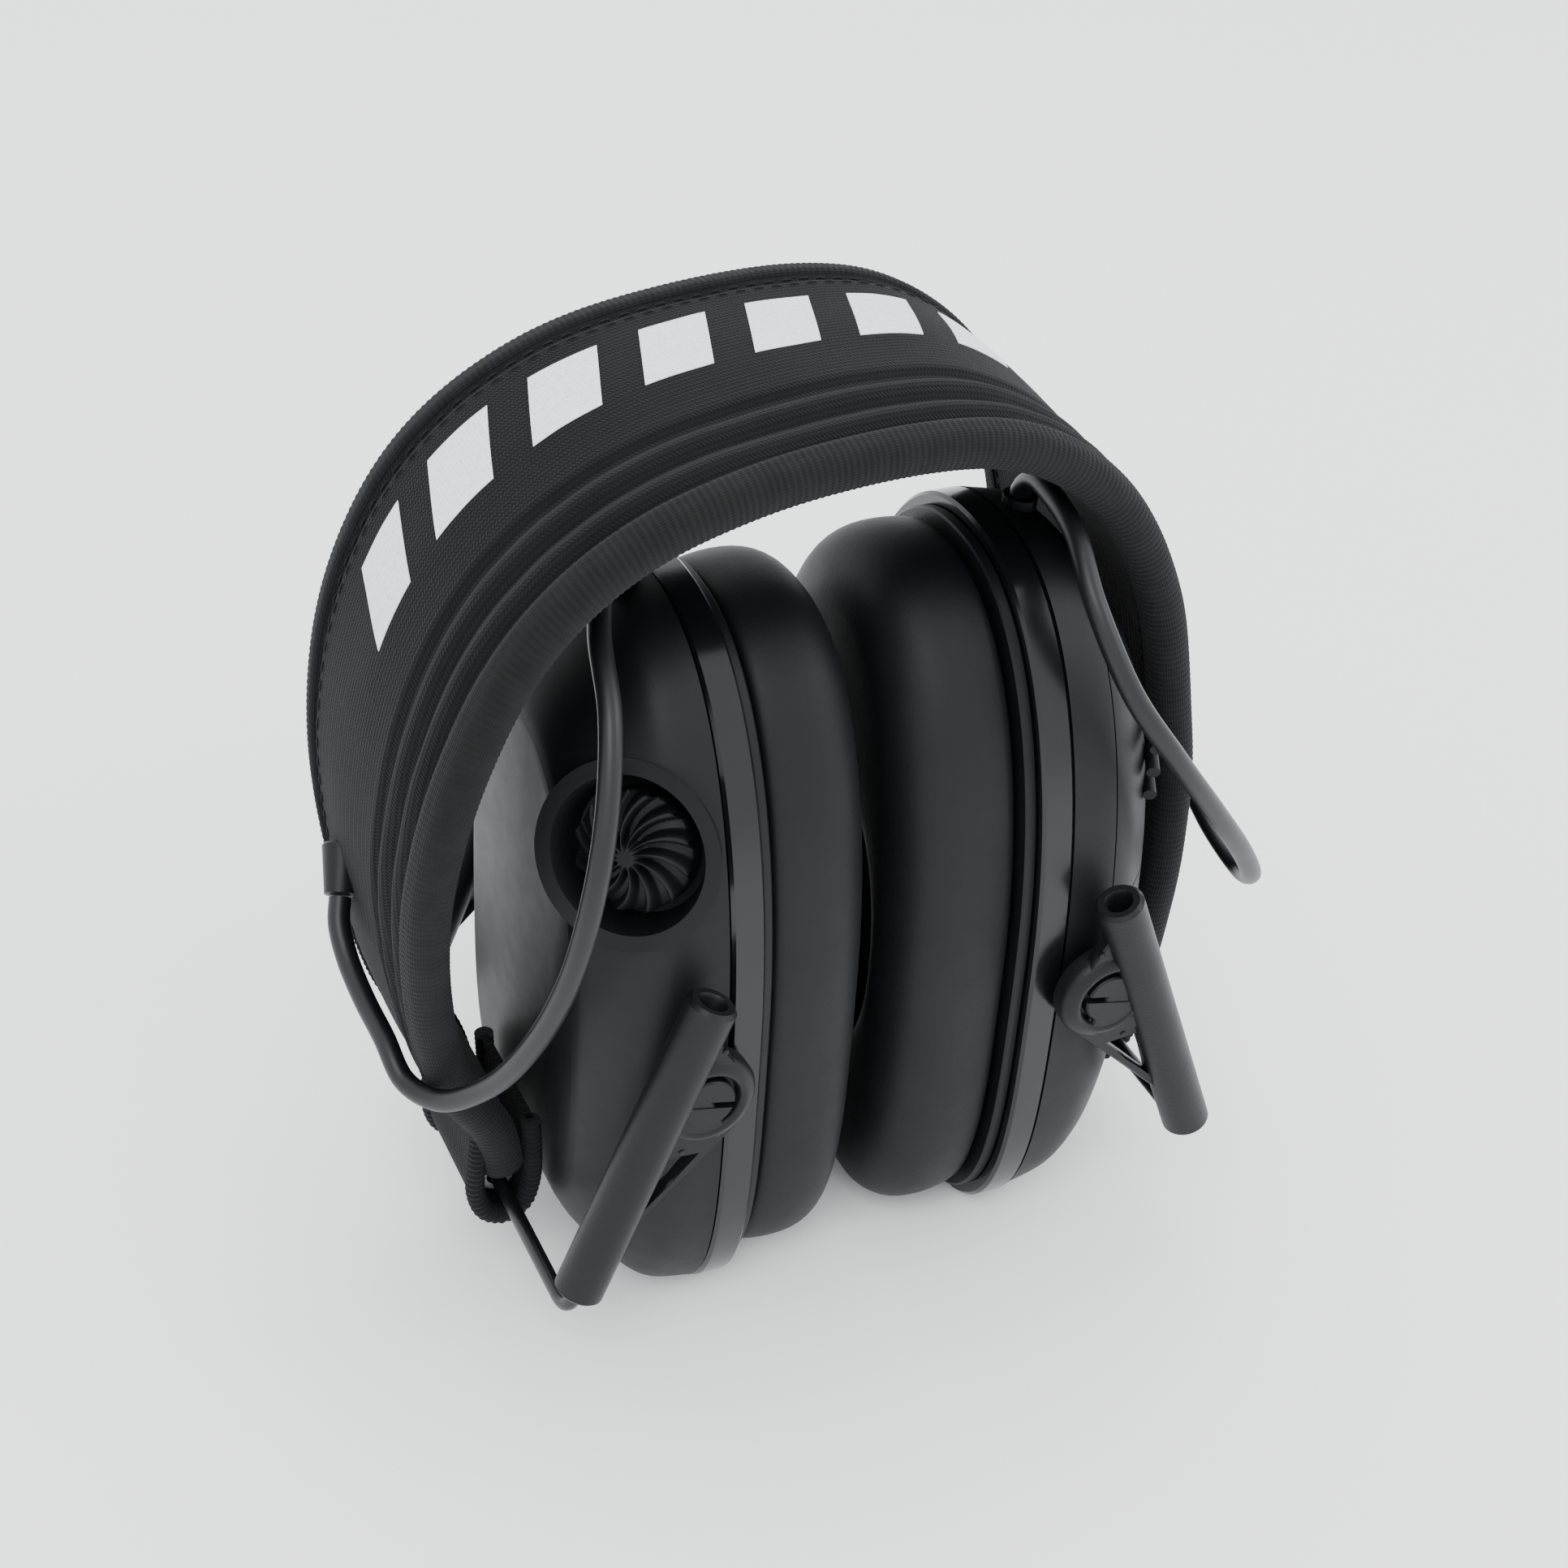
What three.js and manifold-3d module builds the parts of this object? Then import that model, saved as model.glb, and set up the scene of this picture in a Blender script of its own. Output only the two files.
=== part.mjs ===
// Folding electronic earmuff: a padded headband on a spring strip, a wire yoke hinged at each of its ends,
// two clips sliding on each yoke, and an ear cup swivelling between each pair of clips.
// Millimetres, +Z up, -Y front, +X towards the cup with the battery door.
// It is folded, and stands on the flat bottoms of its cups.
import * as THREE from "three";
import { mergeVertices } from "three/addons/utils/BufferGeometryUtils.js";
import Module from "manifold-3d";

const wasm = await Module();
wasm.setup();

// ---- Driving dimensions ----
const GAP = 0.3; // between touching pieces
const FOLD_CENTRE_X = 8; // the folded band bulges to -X, so the cups sit this far to +X
const PIVOT_Z = 58; // cup pivot above the floor, which is also the cup's height below its pivot
const PIVOT_U = 35; // cup pivot from the middle plane between the cups

const CUP_HALF_WIDTH = 36; // front to back, at the ring
const CUP_TOP = 68.5; // above the pivot, at the ring
const CUP_BOTTOM_CURVE = 60; // below the pivot, before the flat is cut
const TOP_ROUNDNESS = 2.3;
const BOTTOM_ROUNDNESS = 3.5;
const EAR_ROUNDNESS = 2.2;
const WALL = 2.2;

// Distances outward from the middle plane between the cups
const CUSHION_U = [2.2, 21.2];
const EAR_PLATE_U = [21.5, 23.2];
const RING_U = [23.5, 29];
const SHELL_U = 29.3;
const SHELL_DEPTH = 20.5;
const FOAM_U = [23.5, 26.4];
const SPEAKER_U = [26.7, 32.4];
const BOARD_U = [33, 34.4];

// The folded band's middle surface: an arch with a straighter leg down to each hinge.
const ARCH_CENTRE_X = 3.5;
const ARCH_SPAN = { left: 69.2, right: 62.2 };
const ARCH_ROUNDNESS = { left: 2.9, right: 2.35 };
const ARCH_TOP_Z = 152.6;
const BAND_SHOULDER_Z = 71.5; // where the arch meets its legs
const BAND_THICKNESS = 6;
const BAND_WIDTH_TOP = 61;
const BAND_WIDTH_END = 24;
const TAPER_Z = { left: [0, 128], right: [0, 90] }; // each leg widens between these heights
// How far rearward the folded band has twisted, between a low and a high height
const SKEW = { middle: 6, perMillimetre: 0.115, low: 30, high: 105 };
const BINDING_WIDTH = 4;
const STRIP_THICKNESS = 1;
const STRIP_WIDTH = 14;

const CLIP_LEAN = THREE.MathUtils.degToRad(21.5); // clip tubes lean inward going up
const CLIP_OFFSET = 6.5; // pivot to tube axis
const CLIP_FACE_Y = 42; // boss front face
const TUBE_Y = 40.5;
const TUBE_RADIUS = 4;
const TUBE_ABOVE = 18; // tube ends, along the tube, from the point beside the pivot
const TUBE_BELOW = 38.5;
const BOSS_RADIUS = 8.3;
const BOSS_BACK_Y = 37.4;
const RECESS_RADIUS = 5.2;
const RECESS_DEPTH = 1.8;
const SCREW_HEAD_RADIUS = 4.4;
const SHANK_RADIUS = 2;
const WIRE_RADIUS = 1.25;
const WIRE_BELOW = 43; // hinge axis, along the tube, from the point beside the pivot
const WIRE_ABOVE = 8; // wire end, the same way
const WIRE_BEND_RADIUS = 4;
const KNUCKLE_RADIUS = 2.9;
const CABLE_RADIUS = 1.75;

// ---- Materials ----
function finish(color, roughness, metalness = 0) {
  return new THREE.MeshStandardMaterial({ color, roughness, metalness });
}

const MATERIALS = {
  shell: finish(0x1b1d1f, 0.55),
  gloss: finish(0x101214, 0.2),
  softTouch: finish(0x191b1d, 0.7),
  knit: finish(0x1c1d1f, 0.95),
  binding: finish(0x242527, 0.9),
  nylon: finish(0x1e2021, 0.5),
  wire: finish(0x1a1b1c, 0.35, 0.6),
  steel: finish(0x8a8c8e, 0.35, 1),
  brass: finish(0xb59a4a, 0.35, 1),
  cable: finish(0x141516, 0.4),
  foam: finish(0x2a2a2b, 1),
  board: finish(0x1f5a3a, 0.6),
  battery: finish(0x3a3d40, 0.4, 0.2),
};

// ---- Solids ----
function solid(geometry) {
  const bare = geometry.index ? geometry.toNonIndexed() : geometry.clone();
  for (const name of Object.keys(bare.attributes)) if (name !== "position") bare.deleteAttribute(name);
  const merged = mergeVertices(bare, 1e-4);
  return new wasm.Manifold(
    new wasm.Mesh({
      numProp: 3,
      vertProperties: new Float32Array(merged.attributes.position.array),
      triVerts: new Uint32Array(merged.index.array),
    }),
  );
}

function geometryOf(manifold) {
  const mesh = manifold.getMesh();
  const geometry = new THREE.BufferGeometry();
  geometry.setAttribute("position", new THREE.BufferAttribute(new Float32Array(mesh.vertProperties), 3));
  geometry.setIndex(new THREE.BufferAttribute(new Uint32Array(mesh.triVerts), 1));
  geometry.computeVertexNormals();
  return geometry;
}

function box(x, y, z) {
  const geometry = new THREE.BoxGeometry(x[1] - x[0], y[1] - y[0], z[1] - z[0]);
  return solid(geometry.translate((x[0] + x[1]) / 2, (y[0] + y[1]) / 2, (z[0] + z[1]) / 2));
}

// A cylinder from one point to another, with an optional second radius at the far end.
function rod(from, to, radius, sides = 16, farRadius = radius) {
  const start = new THREE.Vector3(...from);
  const axis = new THREE.Vector3(...to).sub(start);
  const geometry = new THREE.CylinderGeometry(farRadius, radius, axis.length(), sides);
  geometry.translate(0, axis.length() / 2, 0);
  const turn = new THREE.Quaternion().setFromUnitVectors(new THREE.Vector3(0, 1, 0), axis.normalize());
  return solid(geometry.applyQuaternion(turn).translate(start.x, start.y, start.z));
}

// Outlines of [y, z] points, stacked along +X at the given places and closed at both ends.
function loft(places, outlines) {
  const count = outlines[0].length;
  const positions = [];
  const faces = [];
  outlines.forEach((outline, i) => {
    for (const [y, z] of outline) positions.push(places[i], y, z);
  });
  for (let i = 0; i + 1 < outlines.length; i++) {
    for (let j = 0; j < count; j++) {
      const a = i * count + j;
      const b = i * count + ((j + 1) % count);
      faces.push(a, b, b + count, a, b + count, a + count);
    }
  }
  const last = (outlines.length - 1) * count;
  const corners = outlines[0].map(([y, z]) => new THREE.Vector2(y, z));
  const cap = THREE.ShapeUtils.triangulateShape(corners, []);
  for (const [a, b, c] of cap) {
    faces.push(a, c, b);
    faces.push(last + a, last + b, last + c);
  }
  const geometry = new THREE.BufferGeometry();
  geometry.setAttribute("position", new THREE.Float32BufferAttribute(positions, 3));
  geometry.setIndex(faces);
  return solid(geometry);
}

// A shape drawn in [x, z] and extruded along Y between two places.
function plateInY(points, yFrom, yTo) {
  const shape = new THREE.Shape(points.map(([x, z]) => new THREE.Vector2(x, z)));
  const geometry = new THREE.ExtrudeGeometry(shape, { depth: yTo - yFrom, bevelEnabled: false });
  return solid(geometry.rotateX(Math.PI / 2).translate(0, yTo, 0));
}

function ovalPoints(halfWidth, top, bottom, roundTop, roundBottom, count, floor = Infinity) {
  const points = [];
  for (let i = 0; i < count; i++) {
    const angle = (2 * Math.PI * i) / count;
    const up = Math.sin(angle) >= 0;
    const power = 2 / (up ? roundTop : roundBottom);
    const y = halfWidth * Math.sign(Math.cos(angle)) * Math.abs(Math.cos(angle)) ** power;
    const z = (up ? top : -bottom) * Math.abs(Math.sin(angle)) ** power;
    points.push([y, Math.max(z, -floor)]);
  }
  return points;
}

// The cup's outline, drawn in from the ring's by an amount at the sides and another at top and bottom.
function cupOutline(inY, inZ, count = 36) {
  return ovalPoints(
    CUP_HALF_WIDTH - inY, CUP_TOP - inZ, CUP_BOTTOM_CURVE - inZ,
    TOP_ROUNDNESS, BOTTOM_ROUNDNESS, count, PIVOT_Z - inZ,
  );
}

function earOutline(halfWidth, halfHeight) {
  return ovalPoints(halfWidth, halfHeight, halfHeight, EAR_ROUNDNESS, EAR_ROUNDNESS, 24);
}

// ---- Placing pieces ----
const earmuff = new THREE.Group();
const sides = { left: new THREE.Group(), right: new THREE.Group() };
sides.left.position.set(FOLD_CENTRE_X, 0, PIVOT_Z);
sides.right.position.set(FOLD_CENTRE_X, 0, PIVOT_Z);
sides.left.scale.x = -1; // the left half is the right half seen in a mirror
earmuff.add(sides.left, sides.right);

function place(group, name, manifold, material) {
  const mesh = new THREE.Mesh(geometryOf(manifold), material);
  mesh.name = name;
  group.add(mesh);
}

// ---- Headband ----
// Its middle line in the XZ plane runs from the left hinge over the head to the right hinge.
const hingeU = PIVOT_U + CLIP_OFFSET * Math.cos(CLIP_LEAN) + WIRE_BELOW * Math.sin(CLIP_LEAN);
const hingeZ = CLIP_OFFSET * Math.sin(CLIP_LEAN) - WIRE_BELOW * Math.cos(CLIP_LEAN);
const BAND_END_GAP = 5.6; // band end above the hinge axis

function archPoint(angle) {
  const side = Math.cos(angle) < 0 ? "left" : "right";
  const power = 2 / ARCH_ROUNDNESS[side];
  const reach = ARCH_SPAN[side] * Math.sign(Math.cos(angle));
  const rise = ARCH_TOP_Z - BAND_SHOULDER_Z;
  const x = ARCH_CENTRE_X + reach * Math.abs(Math.cos(angle)) ** power;
  return new THREE.Vector3(x, 0, BAND_SHOULDER_Z + rise * Math.abs(Math.sin(angle)) ** power);
}

function bandMiddleLine() {
  const endZ = PIVOT_Z + hingeZ + BAND_END_GAP;
  const leftEnd = FOLD_CENTRE_X - hingeU;
  const rightEnd = FOLD_CENTRE_X + hingeU;
  const points = [
    new THREE.Vector3(leftEnd, 0, endZ),
    new THREE.Vector3(leftEnd - 2.4, 0, endZ + 10),
    new THREE.Vector3(leftEnd - 10.6, 0, endZ + 26),
  ];
  for (let degrees = 172; degrees >= 8; degrees -= 20.5) {
    points.push(archPoint(THREE.MathUtils.degToRad(degrees)));
  }
  points.push(
    new THREE.Vector3(rightEnd + 0.8, 0, endZ + 26),
    new THREE.Vector3(rightEnd + 0.6, 0, endZ + 10),
    new THREE.Vector3(rightEnd, 0, endZ),
  );
  return new THREE.CatmullRomCurve3(points, false, "centripetal");
}

const bandLine = bandMiddleLine();

// Full width at a point of the middle line: wide over the head, narrowing towards the ends.
function bandWidth(point) {
  const [low, high] = TAPER_Z[point.x < ARCH_CENTRE_X ? "left" : "right"];
  return BAND_WIDTH_END + (BAND_WIDTH_TOP - BAND_WIDTH_END) * THREE.MathUtils.smoothstep(point.z, low, high);
}

function bandSkew(point) {
  const share = THREE.MathUtils.smoothstep(point.z, SKEW.low, SKEW.high);
  return share * (SKEW.middle + SKEW.perMillimetre * (point.x - ARCH_CENTRE_X));
}

// A layer of the band: sections of [y, offset outward] swept along the middle line.
function bandLayer(sectionAt, steps, from = 0, to = 1) {
  const places = [];
  for (let i = 0; i <= steps; i++) places.push(from + ((to - from) * i) / steps);
  const positions = [];
  const faces = [];
  let count = 0;
  for (const u of places) {
    const point = bandLine.getPointAt(u);
    const along = bandLine.getTangentAt(u);
    const outward = new THREE.Vector3(-along.z, 0, along.x);
    const skew = bandSkew(point);
    const section = sectionAt(point);
    count = section.length;
    for (const [y, out] of section) {
      positions.push(point.x + outward.x * out, y + skew, point.z + outward.z * out);
    }
  }
  for (let i = 0; i < steps; i++) {
    for (let j = 0; j < count; j++) {
      const a = i * count + j;
      const b = i * count + ((j + 1) % count);
      faces.push(a, b, b + count, a, b + count, a + count);
    }
  }
  const last = steps * count;
  const corners = sectionAt(bandLine.getPointAt(0.5)).map(([y, out]) => new THREE.Vector2(y, out));
  const cap = THREE.ShapeUtils.triangulateShape(corners, []);
  for (const [a, b, c] of cap) {
    faces.push(a, c, b);
    faces.push(last + a, last + b, last + c);
  }
  const geometry = new THREE.BufferGeometry();
  geometry.setAttribute("position", new THREE.Float32BufferAttribute(positions, 3));
  geometry.setIndex(faces);
  return solid(geometry);
}

const BAND_STEPS = 44;

function rectangle(halfWidth, low, high) {
  return [[-halfWidth, low], [halfWidth, low], [halfWidth, high], [-halfWidth, high]];
}

function padSection(point, inner, outer) {
  return rectangle(bandWidth(point) / 2 - BINDING_WIDTH - GAP, inner, outer);
}

function bindingSection(point, side) {
  const outerEdge = bandWidth(point) / 2;
  const innerEdge = outerEdge - BINDING_WIDTH;
  const half = BAND_THICKNESS / 2 - 0.4;
  const points = [
    [innerEdge, -half], [outerEdge - 1.2, -half], [outerEdge, -half * 0.5],
    [outerEdge, half * 0.5], [outerEdge - 1.2, half], [innerEdge, half],
  ];
  return side > 0 ? points : points.map(([y, out]) => [-y, out]).reverse();
}

function addHeadband() {
  const skin = BAND_THICKNESS / 2;
  const stripHalf = STRIP_THICKNESS / 2;
  const outerPad = bandLayer((point) => padSection(point, stripHalf + GAP, skin), BAND_STEPS);
  const innerPad = bandLayer((point) => padSection(point, -skin, -stripHalf - GAP), BAND_STEPS);
  const stripSection = rectangle(STRIP_WIDTH / 2, -stripHalf, stripHalf);
  const strip = bandLayer(() => stripSection, BAND_STEPS, 0.012, 0.988);
  const frontBinding = bandLayer((point) => bindingSection(point, -1), BAND_STEPS);
  const rearBinding = bandLayer((point) => bindingSection(point, 1), BAND_STEPS);
  place(earmuff, "headband_outer_pad", outerPad, MATERIALS.knit);
  place(earmuff, "headband_inner_pad", innerPad, MATERIALS.knit);
  place(earmuff, "headband_spring_strip", strip, MATERIALS.steel);
  place(earmuff, "headband_front_binding", frontBinding, MATERIALS.binding);
  place(earmuff, "headband_rear_binding", rearBinding, MATERIALS.binding);
}

// The hinge knuckle at the band end, which the yoke's crossbar turns in.
function hingeKnuckle() {
  const halfLength = BAND_WIDTH_END / 2 - BINDING_WIDTH - GAP;
  const outside = rod([hingeU, -halfLength, hingeZ], [hingeU, halfLength, hingeZ], KNUCKLE_RADIUS, 16);
  const flange = box(
    [hingeU - 2.4, hingeU + 2.4], [-halfLength, halfLength], [hingeZ, hingeZ + BAND_END_GAP - 1.4],
  );
  const bore = rod([hingeU, -20, hingeZ], [hingeU, 20, hingeZ], WIRE_RADIUS + 0.55, 16);
  return outside.add(flange).subtract(bore);
}

// ---- Yoke, clips and pivots ----
// In a side's own frame: X outward from the middle plane, Z up from the pivot.
const tubeFoot = {
  u: PIVOT_U + CLIP_OFFSET * Math.cos(CLIP_LEAN),
  z: CLIP_OFFSET * Math.sin(CLIP_LEAN),
};

function alongTube(distance) {
  return [tubeFoot.u - Math.sin(CLIP_LEAN) * distance, tubeFoot.z + Math.cos(CLIP_LEAN) * distance];
}

function tubePoint(distance, y) {
  const [x, z] = alongTube(distance);
  return new THREE.Vector3(x, y, z);
}

function tubeAlong(curve, radius, sidesRound, steps) {
  const shape = new THREE.Shape();
  for (let i = 0; i < sidesRound; i++) {
    const angle = (2 * Math.PI * i) / sidesRound;
    if (i === 0) shape.moveTo(radius, 0);
    else shape.lineTo(radius * Math.cos(angle), radius * Math.sin(angle));
  }
  shape.closePath();
  return solid(new THREE.ExtrudeGeometry(shape, { steps, bevelEnabled: false, extrudePath: curve }));
}

function yoke() {
  const path = new THREE.CurvePath();
  const corner = (y, sign) => {
    const onBar = tubePoint(-WIRE_BELOW, y - sign * WIRE_BEND_RADIUS);
    const onLeg = tubePoint(-WIRE_BELOW + WIRE_BEND_RADIUS, y);
    return [onBar, tubePoint(-WIRE_BELOW, y), onLeg];
  };
  const [frontBar, frontCorner, frontLeg] = corner(-TUBE_Y, -1);
  const [rearBar, rearCorner, rearLeg] = corner(TUBE_Y, 1);
  path.add(new THREE.LineCurve3(tubePoint(WIRE_ABOVE, -TUBE_Y), frontLeg));
  path.add(new THREE.QuadraticBezierCurve3(frontLeg, frontCorner, frontBar));
  path.add(new THREE.LineCurve3(frontBar, rearBar));
  path.add(new THREE.QuadraticBezierCurve3(rearBar, rearCorner, rearLeg));
  path.add(new THREE.LineCurve3(rearLeg, tubePoint(WIRE_ABOVE, TUBE_Y)));
  return tubeAlong(path, WIRE_RADIUS, 8, 58);
}

const WEB_Y = [39.2, 41.4]; // inner and outer faces of the clip's two webs
// The lower web's triangular window, between the boss, the tube and the web's free edge.
const WEB_WINDOW = [[36.6, -10.4], [40.8, -10.2], [44.2, -18.4]];

function plateOnSide(side, points, [near, far]) {
  return side > 0 ? plateInY(points, near, far) : plateInY(points, -far, -near);
}

function clip(side) {
  const onPivot = (y) => [PIVOT_U, side * y, 0];
  const onTube = (distance) => tubePoint(distance, side * TUBE_Y).toArray();
  const boss = rod(onPivot(BOSS_BACK_Y), onPivot(CLIP_FACE_Y), BOSS_RADIUS, 24);
  const tube = rod(onTube(-TUBE_BELOW), onTube(TUBE_ABOVE), TUBE_RADIUS, 16);
  const lowerWeb = plateOnSide(side, [[29.2, -6], alongTube(-2), alongTube(-34)], WEB_Y);
  const upperWeb = plateOnSide(side, [[PIVOT_U - 4, 6.5], alongTube(0), alongTube(13)], WEB_Y);
  const webWindow = plateOnSide(side, WEB_WINDOW, [30, 50]);
  const recessFloor = onPivot(CLIP_FACE_Y - RECESS_DEPTH);
  const recess = rod(recessFloor, onPivot(CLIP_FACE_Y + 1), RECESS_RADIUS - 0.5, 24, RECESS_RADIUS + 0.35);
  const screwHole = rod(onPivot(30), onPivot(50), SHANK_RADIUS + GAP, 16);
  const wireBore = rod(onTube(-60), onTube(40), WIRE_RADIUS + 0.5, 12);
  const body = boss.add(tube).add(lowerWeb.subtract(webWindow)).add(upperWeb);
  return body.subtract(recess).subtract(screwHole).subtract(wireBore);
}

function pivotScrew(side) {
  const onPivot = (y) => [PIVOT_U, side * y, 0];
  const headBack = CLIP_FACE_Y - RECESS_DEPTH + GAP;
  const headFace = CLIP_FACE_Y - 0.2;
  const head = rod(onPivot(headBack), onPivot(headFace), SCREW_HEAD_RADIUS, 24);
  const shank = rod(onPivot(31.6), onPivot(headBack), SHANK_RADIUS, 12);
  const slotY = [side * (headFace - 0.9), side * (headFace + 1)].sort((a, b) => a - b);
  const slot = box([PIVOT_U - 0.8, PIVOT_U + 0.8], slotY, [-3.1, 3.1]);
  return head.add(shank).subtract(slot);
}

const BUSH_RADIUS = 3.9;

function pivotBush(side) {
  const body = rod([PIVOT_U, side * 31, 0], [PIVOT_U, side * (BOSS_BACK_Y - GAP), 0], BUSH_RADIUS, 20);
  const hole = rod([PIVOT_U, side * 20, 0], [PIVOT_U, side * 50, 0], SHANK_RADIUS + 0.4, 16);
  return body.subtract(hole);
}

// ---- Ear cups ----
// Shell sections: depth outward from the ring, then how far the outline draws in at its sides and its ends.
const SHELL_SECTIONS = [
  [0, 0.5, 0],
  [7, 0.9, 2.2],
  [11, 2.2, 6],
  [14.5, 4.8, 10.6],
  [18, 8.6, 15.8],
  [19.8, 11.4, 19.4],
  [SHELL_DEPTH, 13.6, 22],
];

function shellOuter() {
  return loft(
    SHELL_SECTIONS.map(([depth]) => SHELL_U + depth),
    SHELL_SECTIONS.map(([, inY, inZ]) => cupOutline(inY, inZ)),
  );
}

function shellInner() {
  const inside = SHELL_SECTIONS.slice(0, -1);
  const places = inside.map(([depth]) => SHELL_U + depth - (depth > 10 ? WALL * 0.9 : 0));
  places[0] -= 1;
  return loft(places, inside.map(([, inY, inZ]) => cupOutline(inY + WALL, inZ + WALL)));
}

const KNOB_CENTRE = [43.2, -26.2, 38]; // on the shell's front outer corner
const KNOB_AXIS = new THREE.Vector3(0.68, -0.66, 0.32).normalize();
const KNOB_RADIUS = 9.2;
const KNOB_RECESS_RADIUS = 11;
const KNOB_THICKNESS = 6;

function knobPoint(distance) {
  return new THREE.Vector3(...KNOB_CENTRE).addScaledVector(KNOB_AXIS, distance).toArray();
}

function leftShell() {
  const pocket = rod(knobPoint(-9.4), knobPoint(20), KNOB_RECESS_RADIUS + 1.8, 24);
  const recess = rod(knobPoint(-7.4), knobPoint(20), KNOB_RECESS_RADIUS, 24);
  const shaftHole = rod(knobPoint(-12), knobPoint(0), 2, 12);
  const shell = shellOuter().subtract(shellInner().subtract(pocket));
  return shellWithPivots(shell.subtract(recess).subtract(shaftHole));
}

function shellWithPivots(shell) {
  const across = rod([PIVOT_U, -50, 0], [PIVOT_U, 50, 0], BUSH_RADIUS + 0.35, 20);
  return shell.subtract(across).subtract(cableHole());
}

const CABLE_EXIT = [33.6, 2, 65.6]; // top of the shell
const CABLE_EXIT_AXIS = new THREE.Vector3(0.1, 0, 1).normalize();

function exitPoint(distance) {
  return new THREE.Vector3(...CABLE_EXIT).addScaledVector(CABLE_EXIT_AXIS, distance).toArray();
}

function cableHole() {
  return rod(exitPoint(-12), exitPoint(12), 3.2, 16);
}

function cableGrommet() {
  const sleeve = rod(exitPoint(-3), exitPoint(3.4), 2.85, 16);
  return sleeve.subtract(rod(exitPoint(0), exitPoint(10), CABLE_RADIUS + GAP + 0.1, 12));
}

const KNOB_RIBS = 12;

function volumeKnob() {
  const outline = [];
  for (let i = 0; i < KNOB_RIBS * 4; i++) {
    const angle = (2 * Math.PI * i) / (KNOB_RIBS * 4);
    const radius = i % 4 < 2 ? KNOB_RADIUS : KNOB_RADIUS - 1.3;
    outline.push(new THREE.Vector2(radius * Math.cos(angle), radius * Math.sin(angle)));
  }
  const edge = { bevelThickness: 0.6, bevelSize: 0.5, bevelOffset: -0.5, bevelSegments: 1 };
  const depth = KNOB_THICKNESS - 2 * edge.bevelThickness;
  const geometry = new THREE.ExtrudeGeometry(new THREE.Shape(outline), { depth, ...edge });
  geometry.translate(0, 0, -6.4);
  const turn = new THREE.Quaternion().setFromUnitVectors(new THREE.Vector3(0, 0, 1), KNOB_AXIS);
  const [x, y, z] = KNOB_CENTRE;
  const body = solid(geometry.applyQuaternion(turn).translate(x, y, z));
  return body.subtract(rod(knobPoint(-12), knobPoint(-4), 1.8, 12));
}

function volumeControl() {
  const can = rod(knobPoint(-14), knobPoint(-9.7), 5.5, 16);
  return can.add(rod(knobPoint(-9.8), knobPoint(-4.4), 1.4, 10));
}

const DOOR_U = 37.2; // battery door's flat inner edge
const DOOR_Z = 13; // battery door's lower edge

function doorRegion(clear) {
  return box([DOOR_U - clear, 70], [-60, 60], [DOOR_Z - clear, 80]);
}

function rightShell() {
  const shell = shellOuter().subtract(shellInner()).subtract(doorRegion(0));
  return shellWithPivots(shell);
}

function batteryDoor() {
  return shellOuter().subtract(shellInner()).intersect(doorRegion(-GAP));
}

function ring() {
  const outer = loft(RING_U, [cupOutline(0, 0), cupOutline(0, 0)]);
  const opening = loft([RING_U[0] - 1, RING_U[1] + 1], [cupOutline(4.5, 4.5), cupOutline(4.5, 4.5)]);
  return outer.subtract(opening);
}

function earPlate() {
  const plate = loft(EAR_PLATE_U, [cupOutline(2, 2), cupOutline(2, 2)]);
  const opening = loft([EAR_PLATE_U[0] - 1, EAR_PLATE_U[1] + 1], [earOutline(18, 27), earOutline(18, 27)]);
  return plate.subtract(opening);
}

function cushion() {
  const [inner, outer] = CUSHION_U;
  const depth = outer - inner;
  const sections = [[0, 9], [0.09, 5.6], [0.3, 3.2], [0.65, 2.6], [1, 4]];
  const body = loft(
    sections.map(([share]) => inner + depth * share),
    sections.map(([, drawnIn]) => cupOutline(drawnIn, drawnIn)),
  );
  return body.subtract(loft([inner - 1, outer + 1], [earOutline(18.5, 27.5), earOutline(18.5, 27.5)]));
}

const foamInsert = () => loft(FOAM_U, [cupOutline(5, 5), cupOutline(5, 5)]);
const speaker = () => rod([SPEAKER_U[0], 0, 0], [SPEAKER_U[1], 0, 0], 18, 24, 15);

function circuitBoard() {
  return box(BOARD_U, [-22, 22], [-34, 26]);
}

function microphone() {
  return rod([35, -20, -24], [38, -20, -24], 3, 16);
}

const BATTERY_RADIUS = 5.25;
const BATTERY_U = 41.4;
const BATTERY_Z = [-14, 30.5];

function batteryTray() {
  const plate = box([34.8, 35.8], [-13.5, 13.5], [BATTERY_Z[0] - 3.4, BATTERY_Z[1] + 3.4]);
  const lowerLedge = box([34.8, 46], [-13.5, 13.5], [BATTERY_Z[0] - 3.4, BATTERY_Z[0] - 1.9]);
  const upperLedge = box([34.8, 41.5], [-10.5, 10.5], [BATTERY_Z[1] + 1.9, BATTERY_Z[1] + 3.4]);
  return plate.add(lowerLedge).add(upperLedge);
}

function battery(y) {
  const body = rod([BATTERY_U, y, BATTERY_Z[0]], [BATTERY_U, y, BATTERY_Z[1] - 1], BATTERY_RADIUS, 16);
  return body.add(rod([BATTERY_U, y, BATTERY_Z[1] - 1.1], [BATTERY_U, y, BATTERY_Z[1]], 1.9, 12));
}

function batteryContact(zFrom, zTo, uTo) {
  return box([36.1, uTo], [-9, 9], [zFrom, zTo]);
}

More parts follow.
